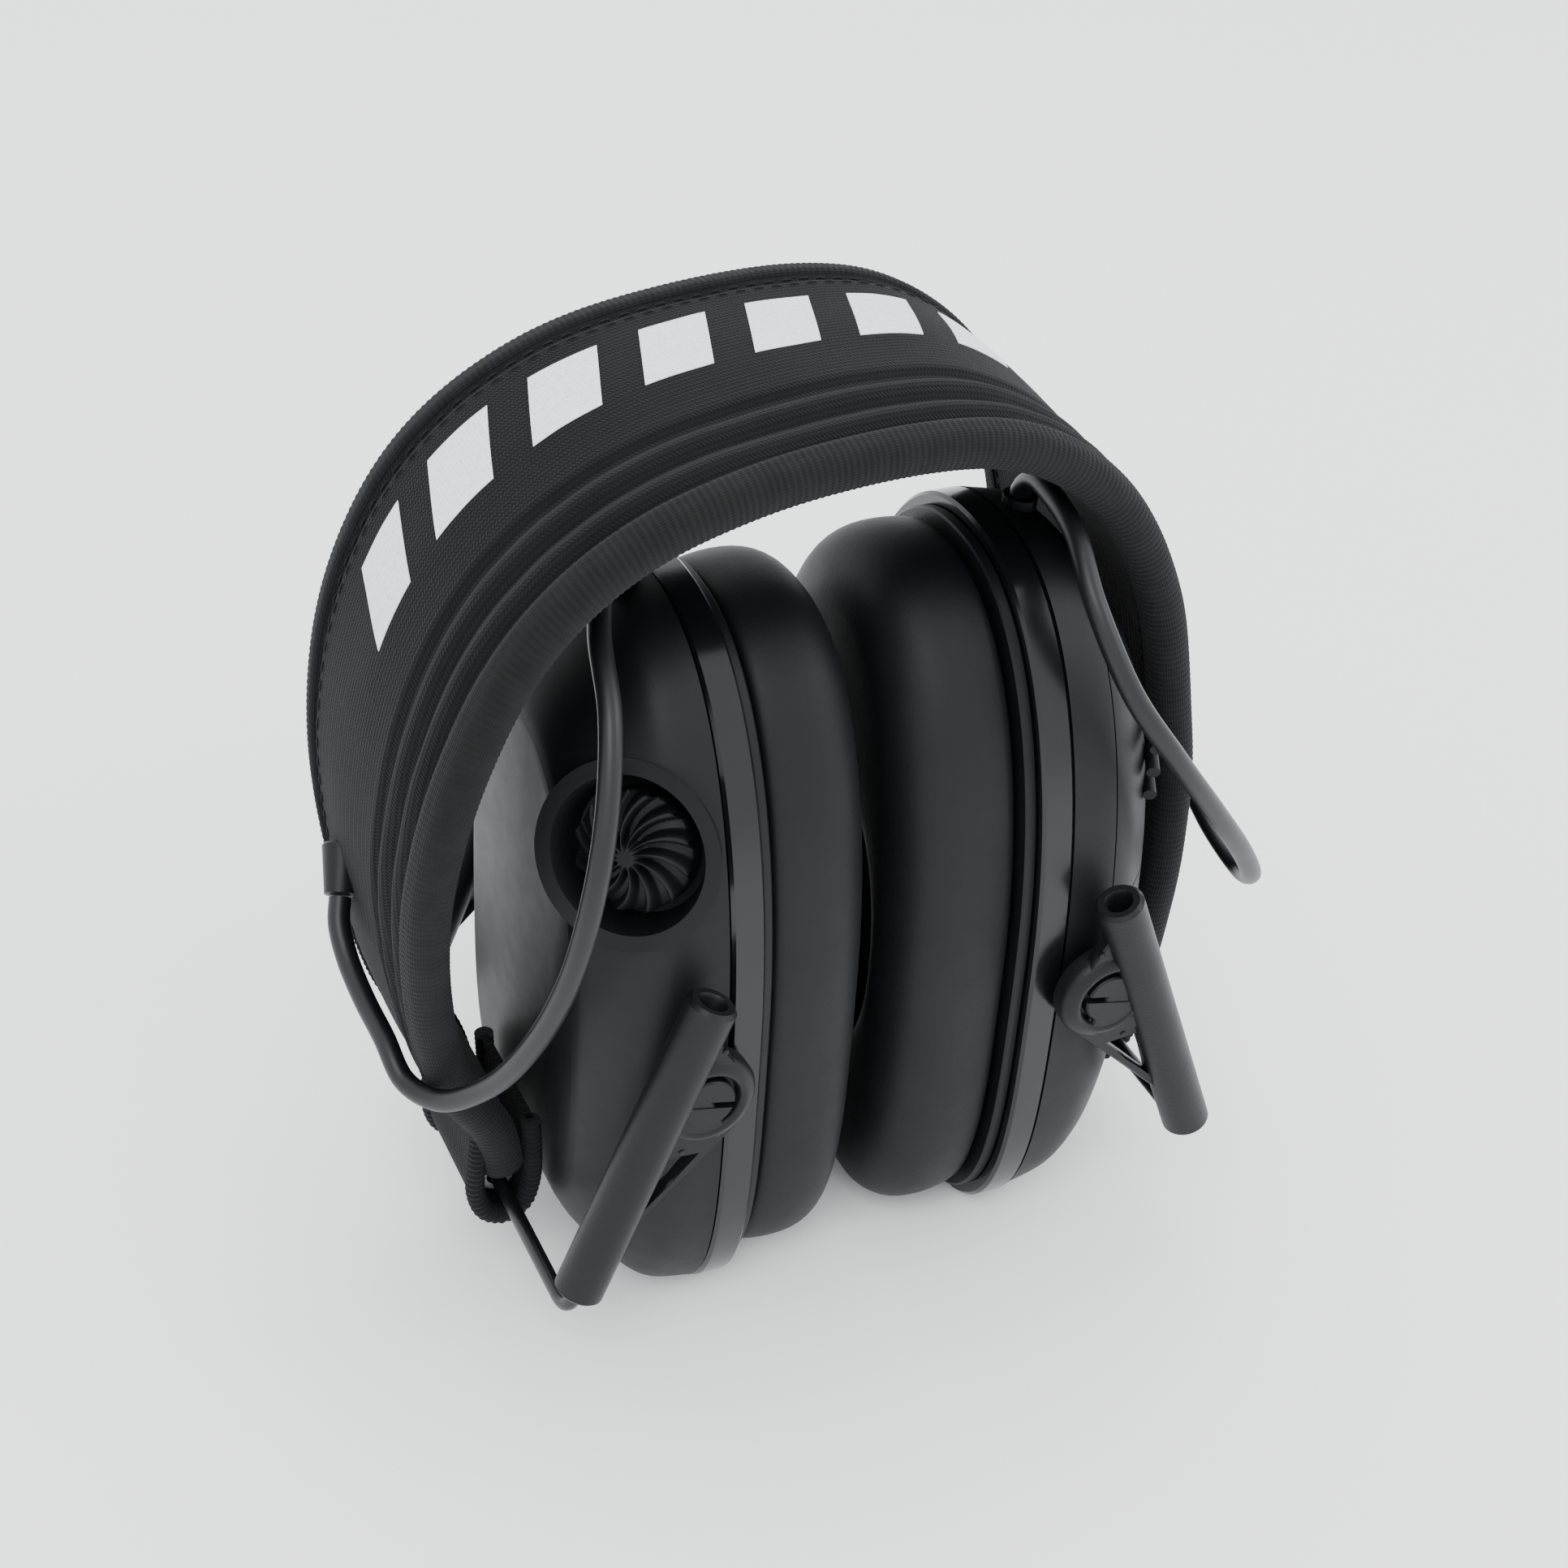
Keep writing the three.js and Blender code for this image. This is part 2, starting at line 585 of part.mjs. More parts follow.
function addSide(name) {
  const group = sides[name];
  place(group, `hinge_knuckle_${name}`, hingeKnuckle(), MATERIALS.steel);
  place(group, `yoke_wire_${name}`, yoke(), MATERIALS.wire);
  for (const [end, side] of [["front", -1], ["rear", 1]]) {
    place(group, `clip_${end}_${name}`, clip(side), MATERIALS.nylon);
    place(group, `pivot_screw_${end}_${name}`, pivotScrew(side), MATERIALS.nylon);
    place(group, `pivot_bush_${end}_${name}`, pivotBush(side), MATERIALS.nylon);
  }
  place(group, `cup_ring_${name}`, ring(), MATERIALS.gloss);
  place(group, `ear_plate_${name}`, earPlate(), MATERIALS.nylon);
  place(group, `cushion_${name}`, cushion(), MATERIALS.softTouch);
  place(group, `foam_insert_${name}`, foamInsert(), MATERIALS.foam);
  place(group, `speaker_${name}`, speaker(), MATERIALS.nylon);
  place(group, `circuit_board_${name}`, circuitBoard(), MATERIALS.board);
  place(group, `microphone_${name}`, microphone(), MATERIALS.steel);
  place(group, `cable_grommet_${name}`, cableGrommet(), MATERIALS.nylon);
}

function addLeftDetails() {
  place(sides.left, "cup_shell_left", leftShell(), MATERIALS.shell);
  place(sides.left, "volume_knob", volumeKnob(), MATERIALS.shell);
  place(sides.left, "volume_control", volumeControl(), MATERIALS.steel);
}

function addRightDetails() {
  place(sides.right, "cup_shell_right", rightShell(), MATERIALS.shell);
  place(sides.right, "battery_door", batteryDoor(), MATERIALS.shell);
  place(sides.right, "battery_tray", batteryTray(), MATERIALS.nylon);
  place(sides.right, "battery_front", battery(-6), MATERIALS.battery);
  place(sides.right, "battery_rear", battery(6), MATERIALS.battery);
  const lowerContact = batteryContact(BATTERY_Z[0] - 1.5, BATTERY_Z[0] - GAP, 45);
  const upperContact = batteryContact(BATTERY_Z[1] + GAP, BATTERY_Z[1] + 1.5, 41);
  place(sides.right, "battery_contact_lower", lowerContact, MATERIALS.brass);
  place(sides.right, "battery_contact_upper", upperContact, MATERIALS.brass);
}

// ---- Cables ----
// In the whole object's frame. Each loops from the top of its cup, in front of the band's edge and round its
// outside, to a strain relief on the band.
const CABLE_ROUTES = {
  left: [
    [-25.7, 2, 124.9], [-26, 2, 127.9], [-27.6, -1.4, 131.9], [-32.6, -9, 133.4], [-37.5, -20, 131.2],
    [-40.1, -31, 125], [-43.3, -38.5, 113.8], [-46.7, -42, 101.5], [-49.7, -41, 87.5],
    [-53.5, -36, 72.5], [-57.7, -29, 60.5], [-62.9, -21.4, 53.2], [-66.2, -14.8, 52.8],
    [-67.6, -9.4, 57.6], [-69.7, -6.6, 63.8], [-71, -3, 69.4], [-71, 0.8, 73.4], [-69.9, 3.5, 76],
  ],
  right: [
    [41.7, 2, 124.9], [42, 2, 127.9], [42, -1.6, 131.6], [41.3, -8.5, 132.4], [40.1, -18, 131.2],
    [39.1, -27, 125], [42.9, -35, 112.6], [50.1, -38.2, 101.5], [60.5, -36.6, 87.5],
    [71, -32, 73.5], [78.5, -26, 62.4], [81.1, -19.4, 58.2], [79.9, -11.5, 61.5],
    [78.1, -3, 68.5], [76.6, 5, 74], [74.6, 11.4, 78], [72.4, 14.4, 81],
  ],
};
const RELIEF_LENGTH = 8;
const RELIEF_RADII = [2.6, 3.2];
// What is cut off the reliefs, where they meet the band's outer faces
const RELIEF_CUT = {
  left: [[-68.9, 0], [-40, 40], [0, 150]],
  right: [[0, 69.9], [-40, 40], [0, 150]],
};

function cableRoute(name) {
  const points = CABLE_ROUTES[name].map((point) => new THREE.Vector3(...point));
  return new THREE.CatmullRomCurve3(points, false, "centripetal");
}

function cableRelief(name) {
  const route = cableRoute(name);
  const onAxis = (distance) => route.getPoint(1).addScaledVector(route.getTangent(1), distance).toArray();
  const [start, end] = RELIEF_RADII;
  return rod(onAxis(GAP), onAxis(RELIEF_LENGTH), start, 16, end).subtract(box(...RELIEF_CUT[name]));
}

function addCable(name) {
  place(earmuff, `cable_${name}`, tubeAlong(cableRoute(name), CABLE_RADIUS, 8, 34), MATERIALS.cable);
  place(earmuff, `cable_relief_${name}`, cableRelief(name), MATERIALS.nylon);
}

addHeadband();
addSide("left");
addSide("right");
addLeftDetails();
addRightDetails();
addCable("left");
addCable("right");

export default earmuff;
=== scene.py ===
"""Looks of the folding electronic earmuff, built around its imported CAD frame.

Lengths are in millimetres until a mesh is made, then metres. A side's own frame has u outward from the plane
midway between the cups, y to the rear, and z up from the cup's pivot."""
import math

import bmesh
import bpy
from mathutils import Matrix, Vector, noise


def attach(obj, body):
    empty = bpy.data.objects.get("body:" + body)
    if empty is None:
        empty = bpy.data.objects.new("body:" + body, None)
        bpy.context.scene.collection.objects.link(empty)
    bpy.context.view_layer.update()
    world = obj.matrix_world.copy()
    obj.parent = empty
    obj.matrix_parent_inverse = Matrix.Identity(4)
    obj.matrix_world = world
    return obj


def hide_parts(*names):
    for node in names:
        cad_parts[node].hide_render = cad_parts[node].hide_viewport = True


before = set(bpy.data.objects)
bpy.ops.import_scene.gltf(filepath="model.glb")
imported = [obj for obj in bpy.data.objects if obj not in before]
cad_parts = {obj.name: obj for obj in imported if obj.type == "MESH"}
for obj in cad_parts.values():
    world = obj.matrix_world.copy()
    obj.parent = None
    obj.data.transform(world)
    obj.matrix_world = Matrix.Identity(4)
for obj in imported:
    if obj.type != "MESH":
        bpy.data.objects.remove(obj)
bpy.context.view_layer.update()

MM = 0.001

# ---- Driving dimensions, the same as the CAD's ----
FOLD_CENTRE_X = 8.0
PIVOT_Z = 58.0
PIVOT_U = 35.0
CUP_HALF_WIDTH = 36.0
CUP_TOP = 68.5
CUP_BOTTOM_CURVE = 60.0
TOP_ROUNDNESS = 2.3
BOTTOM_ROUNDNESS = 3.5
EAR_ROUNDNESS = 2.2
EAR_OPENING = (18.0, 27.0)  # half width and half height
WALL = 2.2
CUSHION_U = (2.2, 21.2)
EAR_PLATE_U = (21.5, 23.2)
RING_U = (23.5, 29.0)
SHELL_U = 29.3
SHELL_SECTIONS = [  # (depth past SHELL_U, drawn in at the sides, drawn in at the ends)
    (0, 0.5, 0), (7, 0.9, 2.2), (11, 2.2, 6), (14.5, 4.8, 10.6),
    (18, 8.6, 15.8), (19.8, 11.4, 19.4), (20.5, 13.6, 22),
]
DOOR_U = 37.2  # the battery door's flat inner edge
DOOR_Z = 13.0  # and its lower edge
ARCH_CENTRE_X = 3.5
ARCH_SPAN = {"left": 69.2, "right": 62.2}
ARCH_ROUNDNESS = {"left": 2.9, "right": 2.35}
ARCH_TOP_Z = 152.6
BAND_SHOULDER_Z = 71.5
BAND_THICKNESS = 6.0
BAND_WIDTH_TOP = 61.0
BAND_WIDTH_END = 24.0
TAPER_Z = {"left": (0, 128), "right": (0, 90)}  # each leg widens between these heights
SKEW_MIDDLE = 6.0  # how far rearward the folded band has twisted
SKEW_PER_MILLIMETRE = 0.115
SKEW_Z = (30, 105)
BAND_END_GAP = 5.6
CLIP_LEAN = math.radians(21.5)
CLIP_OFFSET = 6.5
CLIP_FACE_Y = 42.0
BOSS_BACK_Y = 37.4
TUBE_Y = 40.5
TUBE_RADIUS = 4.0
TUBE_ABOVE = 18.0  # a clip's tube, measured along the wire from beside the pivot
TUBE_BELOW = 38.5
BOSS_RADIUS = 8.3
RECESS_RADIUS = 5.2
RECESS_DEPTH = 1.8
WIRE_RADIUS = 1.25
WIRE_BELOW = 43.0
WIRE_ABOVE = 8.0
WIRE_BEND_RADIUS = 4.0
CABLE_RADIUS = 1.75
KNOB_CENTRE = Vector((43.2, -26.2, 38))
KNOB_AXIS = Vector((0.68, -0.66, 0.32)).normalized()
SIDES = {"left": -1, "right": 1}

OUTLINE_POINTS = 144
PRISM_POINTS = 60
SHARP = math.radians(40)  # faces that meet at more than this keep a hard edge
CRISP = math.radians(25)
FAR = 60.0  # past the cup's front and rear

HINGE_U = PIVOT_U + CLIP_OFFSET * math.cos(CLIP_LEAN) + WIRE_BELOW * math.sin(CLIP_LEAN)
HINGE_Z = CLIP_OFFSET * math.sin(CLIP_LEAN) - WIRE_BELOW * math.cos(CLIP_LEAN)


# ---- Curves ----
def catmull(points, per_span=24):
    """A centripetal Catmull-Rom curve through the points, as a dense list of points."""
    pts = [Vector(p) for p in points]
    pts = [2 * pts[0] - pts[1]] + pts + [2 * pts[-1] - pts[-2]]
    out = []
    for i in range(1, len(pts) - 2):
        p0, p1, p2, p3 = pts[i - 1:i + 3]
        d0, d1, d2 = (max((b - a).length ** 0.5, 1e-4) for a, b in ((p0, p1), (p1, p2), (p2, p3)))
        m1 = ((p1 - p0) / d0 - (p2 - p0) / (d0 + d1) + (p2 - p1) / d1) * d1
        m2 = ((p2 - p1) / d1 - (p3 - p1) / (d1 + d2) + (p3 - p2) / d2) * d1
        for k in range(per_span):
            t = k / per_span
            a = 2 * t ** 3 - 3 * t ** 2 + 1
            b = t ** 3 - 2 * t ** 2 + t
            c = -2 * t ** 3 + 3 * t ** 2
            d = t ** 3 - t ** 2
            out.append(p1 * a + m1 * b + p2 * c + m2 * d)
    out.append(pts[-2])
    return out


class Line:
    """A polyline with points and directions by distance along it."""

    def __init__(self, points):
        self.points = points
        self.at = [0.0]
        for a, b in zip(points, points[1:]):
            self.at.append(self.at[-1] + (b - a).length)
        self.length = self.at[-1]

    def index(self, s):
        low, high = 0, len(self.at) - 1
        while high - low > 1:
            middle = (low + high) // 2
            if self.at[middle] <= s:
                low = middle
            else:
                high = middle
        return low

    def point(self, s):
        i = self.index(s)
        span = self.at[i + 1] - self.at[i]
        return self.points[i].lerp(self.points[i + 1], (s - self.at[i]) / span)

    def direction(self, s):
        reach = 0.6
        a = self.point(max(0.0, s - reach))
        b = self.point(min(self.length, s + reach))
        return (b - a).normalized()


def steps(low, high, count):
    return [low + (high - low) * i / count for i in range(count + 1)]


def smoothstep(low, high, x):
    t = min(1.0, max(0.0, (x - low) / (high - low)))
    return t * t * (3 - 2 * t)


def ridge(x, centre, half_width):
    """A rounded bump, 1 at its centre and 0 at its edges."""
    t = abs(x - centre) / half_width
    return math.cos(t * math.pi / 2) ** 2 if t < 1 else 0.0


# ---- Meshes ----
def mesh_object(name, vertices, faces, sharp=SHARP, weave=None):
    """An object from vertices in millimetres. weave is each vertex's place along and across the cloth."""
    mesh = bpy.data.meshes.new(name)
    mesh.from_pydata([Vector(v) * MM for v in vertices], [], faces)
    if weave:
        attribute = mesh.attributes.new("weave", "FLOAT_VECTOR", "POINT")
        for i, (along, across) in enumerate(weave):
            attribute.data[i].vector = (along, across, 0)
    return finish_mesh(bpy.data.objects.new(name, mesh), sharp)


def finish_mesh(obj, sharp=SHARP):
    """Links an object, turns its normals outward and shades it smooth, up to the sharp angle."""
    if obj.name not in bpy.context.scene.collection.objects:
        bpy.context.scene.collection.objects.link(obj)
    shape = bmesh.new()
    shape.from_mesh(obj.data)
    bmesh.ops.recalc_face_normals(shape, faces=shape.faces)
    shape.to_mesh(obj.data)
    shape.free()
    obj.data.polygons.foreach_set("use_smooth", [True] * len(obj.data.polygons))
    obj.data.set_sharp_from_angle(angle=sharp)
    return obj


def ring_faces(rows, count, closed_rows=False, caps=True):
    """Faces of a tube made of rows of count vertices each."""
    faces = []
    for i in range(rows if closed_rows else rows - 1):
        for j in range(count):
            a = i * count + j
            b = i * count + (j + 1) % count
            up = ((i + 1) % rows - i) * count
            faces.append((a, b, b + up, a + up))
    if caps and not closed_rows:
        faces.append(tuple(range(count)))
        faces.append(tuple(range((rows - 1) * count, rows * count)))
    return faces


def join(name, objects):
    """One object from several, each a closed body of its own."""
    shape = bmesh.new()
    for obj in objects:
        shape.from_mesh(obj.data)
        bpy.data.objects.remove(obj)
    mesh = bpy.data.meshes.new(name)
    shape.to_mesh(mesh)
    shape.free()
    return finish_mesh(bpy.data.objects.new(name, mesh))


def place(side, u, y, z):
    """A point of a side's own frame in the whole object's frame, in millimetres."""
    return Vector((FOLD_CENTRE_X + SIDES[side] * u, y, PIVOT_Z + z))


def place_direction(side, direction):
    return Vector((SIDES[side] * direction[0], direction[1], direction[2]))


def frame_of(axis):
    """Two directions across an axis."""
    helper = Vector((0, 0, 1)) if abs(axis.z) < 0.9 else Vector((1, 0, 0))
    first = axis.cross(helper).normalized()
    return first, axis.cross(first).normalized()


def lathe(name, origin, axis, profile, segments=48, closed=False):
    """A profile of (distance along the axis, radius) turned round it, closed on itself or capped."""
    axis = axis.normalized()
    first, second = frame_of(axis)
    vertices = []
    for distance, radius in profile:
        for k in range(segments):
            angle = 2 * math.pi * k / segments
            across = first * math.cos(angle) + second * math.sin(angle)
            vertices.append(origin + axis * distance + across * radius)
    return mesh_object(name, vertices, ring_faces(len(profile), segments, closed_rows=closed))


def tube(name, line, radius, sides, spacing, weave=False):
    """A round tube along a line, with no twist. Its radius is a number, or a function of the distance."""
    count = max(6, int(line.length / spacing))
    places = steps(0.0, line.length, count)
    first, _ = frame_of(line.direction(places[0]))
    vertices = []
    grain = []
    for s in places:
        along = line.direction(s)
        first = (first - along * first.dot(along)).normalized()
        second = along.cross(first)
        middle = line.point(s)
        r = radius(s) if callable(radius) else radius
        for k in range(sides):
            angle = 2 * math.pi * k / sides
            vertices.append(middle + (first * math.cos(angle) + second * math.sin(angle)) * r)
            grain.append((s, angle * r))
    return mesh_object(name, vertices, ring_faces(len(places), sides), weave=grain if weave else None)


def superellipse(half_width, top, bottom, round_top, round_bottom, floor=1e9):
    """Evenly spaced points of a closed outline in (y, z), flat where the floor cuts it."""
    count = OUTLINE_POINTS
    dense = []
    for i in range(count * 8):
        angle = 2 * math.pi * i / (count * 8)
        up = math.sin(angle) >= 0
        power = 2 / (round_top if up else round_bottom)
        y = half_width * math.copysign(abs(math.cos(angle)) ** power, math.cos(angle))
        z = (top if up else -bottom) * abs(math.sin(angle)) ** power
        dense.append(Vector((y, max(z, -floor), 0)))
    line = Line(dense + [dense[0]])
    return [line.point(line.length * i / count) for i in range(count)]


def cup_outline(in_y, in_z):
    """The cup's outline, drawn in at its sides and at its ends."""
    return superellipse(
        CUP_HALF_WIDTH - in_y, CUP_TOP - in_z, CUP_BOTTOM_CURVE - in_z,
        TOP_ROUNDNESS, BOTTOM_ROUNDNESS, PIVOT_Z - in_z,
    )


def ear_outline(half_width, half_height):
    return superellipse(half_width, half_height, half_height, EAR_ROUNDNESS, EAR_ROUNDNESS)


def section_vertices(side, sections):
    return [place(side, u, p.x, p.y) for u, outline in sections for p in outline]


def cup_ring(name, side, sections, sharp):
    """Sections of (u, outline) joined into one ring-shaped body, which runs back to its first section."""
    faces = ring_faces(len(sections), OUTLINE_POINTS, closed_rows=True)
    return mesh_object(name, section_vertices(side, sections), faces, sharp)


def with_modifiers_applied(obj):
    bpy.context.view_layer.update()
    result = bpy.data.meshes.new_from_object(obj.evaluated_get(bpy.context.evaluated_depsgraph_get()))
    obj.modifiers.clear()
    obj.data = result
    return obj


def boolean(obj, other, operation):
    """Cuts obj with other, joins it to it or keeps what they share. The other object is used up."""
    modifier = obj.modifiers.new("cut", "BOOLEAN")
    modifier.object = other
    modifier.operation = operation
    modifier.solver = "EXACT"
    with_modifiers_applied(obj)
    bpy.data.objects.remove(other)
    return finish_mesh(obj)


def prism(name, side, points, y_from, y_to, hole=None):
    """A plate in the (u, z) plane between two y places, with softened edges and an optional hole."""
    edge = 0.35

    def spread(corners):
        line = Line([Vector((*c, 0)) for c in corners + [corners[0]]])
        return [line.point(line.length * i / PRISM_POINTS) for i in range(PRISM_POINTS)]

    def shrink(outline, by):
        centre = sum(outline, Vector()) / len(outline)
        return [p + (centre - p).normalized() * by for p in outline]

    outer = spread(points)
    sign = 1 if y_to > y_from else -1
    rows = [
        (shrink(outer, edge), y_from), (outer, y_from + sign * edge),
        (outer, y_to - sign * edge), (shrink(outer, edge), y_to),
    ]
    if hole:
        inner = spread(hole)
        rows += [
            (shrink(inner, -edge), y_to), (inner, y_to - sign * edge),
            (inner, y_from + sign * edge), (shrink(inner, -edge), y_from),
        ]
    vertices = [place(side, p.x, y, p.y) for outline, y in rows for p in outline]
    return mesh_object(name, vertices, ring_faces(len(rows), PRISM_POINTS, closed_rows=bool(hole)))


# ---- Materials ----
SOCKETS = {
    "roughness": "Roughness", "specular": "Specular IOR Level", "metallic": "Metallic",
    "sheen": "Sheen Weight", "sheen_roughness": "Sheen Roughness",
}
YARN_PITCH = 0.62  # knit, in millimetres along and across
COLUMN_PITCH = 0.9
THREAD_PITCH = 0.42
RIB_PITCH = 1.05  # ribs of the binding tape
RIB_HEIGHT = 0.16


def shader(name):
    material = bpy.data.materials.new(name)
    material.use_nodes = True
    return material, material.node_tree, material.node_tree.nodes["Principled BSDF"]


def add_node(tree, kind, values=None, **settings):
    node = tree.nodes.new(kind)
    for key, value in settings.items():
        setattr(node, key, value)
    for key, value in (values or {}).items():
        node.inputs[key].default_value = value
    return node


def maths(tree, operation, a, b=None):
    """The output of a Math node. Each of a and b is a number or another node's output."""
    node = add_node(tree, "ShaderNodeMath", operation=operation)
    for socket, value in zip(node.inputs, (a, b)):
        if value is None:
            continue
        if isinstance(value, (int, float)):
            socket.default_value = value
        else:
            tree.links.new(value, socket)
    return node.outputs[0]


def position(tree):
    return add_node(tree, "ShaderNodeTexCoord").outputs["Object"]


def speckle(tree, scale, detail=4.0):
    node = add_node(tree, "ShaderNodeTexNoise", {"Scale": scale, "Detail": detail, "Roughness": 0.55})
    tree.links.new(position(tree), node.inputs["Vector"])
    return node.outputs["Fac"]


def ramp(tree, factor, low, high, colours):
    node = add_node(tree, "ShaderNodeValToRGB")
    tree.links.new(factor, node.inputs["Fac"])
    for stop, place_at, colour in zip(node.color_ramp.elements, (low, high), colours):
        stop.position = place_at
        stop.color = (*colour, 1)
    return node.outputs["Color"]


def shade(colour, factor):
    return tuple(min(1.0, c * factor) for c in colour)


def base_colour(tree, bsdf, colour, factor, low, high, darkest, lightest):
    """A base colour that runs from a darker to a lighter shade as the factor goes from low to high."""
    mixed = ramp(tree, factor, low, high, (shade(colour, darkest), shade(colour, lightest)))
    tree.links.new(mixed, bsdf.inputs["Base Color"])


def finish(bsdf, **values):
    """Numbers on the shader's own sockets: specular=0.2 sets Specular IOR Level, and so on."""
    for key, value in values.items():
        bsdf.inputs[SOCKETS[key]].default_value = value


def bump(tree, bsdf, height, distance, strength=1.0):
    node = add_node(tree, "ShaderNodeBump", {"Strength": strength, "Distance": distance})
    tree.links.new(height, node.inputs["Height"])
    tree.links.new(node.outputs["Normal"], bsdf.inputs["Normal"])


def plastic(name, colour, roughness, grain=0.00002, grain_scale=2600, specular=0.22, rough_spread=0.06):
    """Moulded plastic: faint mottling, a fine grain, and roughness that varies a little."""
    material, tree, bsdf = shader(name)
    base_colour(tree, bsdf, colour, speckle(tree, 90), 0.3, 0.7, 0.86, 1.16)
    wear = maths(tree, "MULTIPLY", speckle(tree, 240, 6.0), rough_spread * 2)
    tree.links.new(maths(tree, "ADD", wear, roughness - rough_spread), bsdf.inputs["Roughness"])
    finish(bsdf, specular=specular)
    bump(tree, bsdf, speckle(tree, grain_scale, 3.0), grain)
    return material


def metal(name, colour, roughness):
    """Metal with faint drawn streaks."""
    material, tree, bsdf = shader(name)
    streaks = speckle(tree, 700, 6.0)
    base_colour(tree, bsdf, colour, streaks, 0.3, 0.7, 0.8, 1.1)
    wear = maths(tree, "MULTIPLY", streaks, 0.2)
    tree.links.new(maths(tree, "ADD", wear, roughness), bsdf.inputs["Roughness"])
    finish(bsdf, metallic=1.0)
    bump(tree, bsdf, streaks, 0.00001)
    return material


def wave(tree, along, pitch):
    return maths(tree, "SINE", maths(tree, "MULTIPLY", along, 2 * math.pi / pitch))


def weave_axes(tree):
    """Distance along and across the cloth, in millimetres."""
    attribute = add_node(tree, "ShaderNodeAttribute", attribute_name="weave")
    split = add_node(tree, "ShaderNodeSeparateXYZ")
    tree.links.new(attribute.outputs["Vector"], split.inputs[0])
    return split.outputs["X"], split.outputs["Y"]


def knit_fabric(name, colour):
    """A fine knit whose columns slant one way and then the other, with a short nap."""
    material, tree, bsdf = shader(name)
    along, across = weave_axes(tree)
    slant = maths(tree, "MULTIPLY", maths(tree, "PINGPONG", across, COLUMN_PITCH), 1.1)
    phase = maths(tree, "ADD", maths(tree, "MULTIPLY", along, 1 / YARN_PITCH), slant)
    yarn = wave(tree, phase, 1)
    column = wave(tree, across, COLUMN_PITCH)
    pattern = maths(tree, "ADD", maths(tree, "MULTIPLY", yarn, 0.5), maths(tree, "MULTIPLY", column, 0.35))
    fibre = speckle(tree, 3200, 5.0)
    height = maths(tree, "ADD", pattern, maths(tree, "MULTIPLY", fibre, 0.9))
    # painted shade: the colour follows the knit's relief and is darker in its grooves, over a random tone
    tone_and_painted_shade = maths(tree, "ADD", maths(tree, "MULTIPLY", pattern, 0.22), speckle(tree, 60, 5.0))
    base_colour(tree, bsdf, colour, tone_and_painted_shade, 0.2, 0.85, 0.6, 1.5)
    finish(bsdf, roughness=0.92, specular=0.14, sheen=0.03, sheen_roughness=0.5)
    bump(tree, bsdf, height, 0.00012, 0.8)
    return material


def woven_tape(name, colour):
    """Binding tape: the ribs are modelled, this adds its threads and a painted shade that bands the colour
    with the ribs.
    """
    material, tree, bsdf = shader(name)
    along, across = weave_axes(tree)
    thread = wave(tree, across, THREAD_PITCH)
    fibre = speckle(tree, 2600, 5.0)
    height = maths(tree, "ADD", maths(tree, "MULTIPLY", thread, 0.5), fibre)
    # painted shade on the modelled ribs: the colour is lighter on one flank of each rib and darker on the
    # other, over a random tone
    rib = wave(tree, along, RIB_PITCH)
    tone_and_painted_shade = maths(tree, "ADD", maths(tree, "MULTIPLY", rib, 0.16), speckle(tree, 300, 5.0))
    base_colour(tree, bsdf, colour, tone_and_painted_shade, 0.25, 0.75, 0.65, 1.35)
    finish(bsdf, roughness=0.85, specular=0.18, sheen=0.03)
    bump(tree, bsdf, height, 0.0001, 0.7)
    return material


def cell_distance(tree, scale):
    cells = add_node(tree, "ShaderNodeTexVoronoi", {"Scale": scale}, feature="F1")
    tree.links.new(position(tree), cells.inputs["Vector"])
    return cells.outputs["Distance"]


def soft_skin(name, colour):
    """Smooth artificial leather with a very fine pebble."""
    material, tree, bsdf = shader(name)
    base_colour(tree, bsdf, colour, speckle(tree, 70), 0.3, 0.7, 0.85, 1.2)
    finish(bsdf, specular=0.22)
    wear = maths(tree, "MULTIPLY", speckle(tree, 160, 5.0), 0.14)
    tree.links.new(maths(tree, "ADD", wear, 0.46), bsdf.inputs["Roughness"])
    bump(tree, bsdf, cell_distance(tree, 1500.0), 0.00003, 0.5)
    return material


def foam_cells(name, colour):
    material, tree, bsdf = shader(name)
    distance = cell_distance(tree, 1100.0)
    # painted shade: the colour is darkest in the cells' pits, where the bump is lowest
    base_colour(tree, bsdf, colour, distance, 0.1, 0.6, 0.3, 1.4)
    finish(bsdf, roughness=0.95)
    bump(tree, bsdf, distance, 0.0004)
    return material


def screen_print(name, colour):
    """White ink on knit: the yarns show through it as a fine relief."""
    material, tree, bsdf = shader(name)
    along, across = weave_axes(tree)
    relief = maths(tree, "ADD", wave(tree, along, YARN_PITCH), wave(tree, across, COLUMN_PITCH))
    # ink worn at random, with a painted shade that darkens the ink in the relief's grooves
    wear_and_painted_shade = maths(tree, "ADD", speckle(tree, 1500, 6.0), maths(tree, "MULTIPLY", relief, 0.03))
    base_colour(tree, bsdf, colour, wear_and_painted_shade, 0.3, 0.55, 0.82, 1.0)
    finish(bsdf, roughness=0.7)
    bump(tree, bsdf, relief, 0.00006, 0.6)
    return material


def circuit(name, colour):
    material, tree, bsdf = shader(name)
    traces = add_node(tree, "ShaderNodeTexBrick", {"Scale": 260.0, "Mortar Size": 0.03})
    tree.links.new(position(tree), traces.inputs["Vector"])
    traces.inputs["Color1"].default_value = (*colour, 1)
    traces.inputs["Color2"].default_value = (*shade(colour, 1.3), 1)
    traces.inputs["Mortar"].default_value = (*shade(colour, 2.4), 1)
    tree.links.new(traces.outputs["Color"], bsdf.inputs["Base Color"])
    finish(bsdf, roughness=0.4)
    bump(tree, bsdf, traces.outputs["Fac"], 0.00005)
    return material


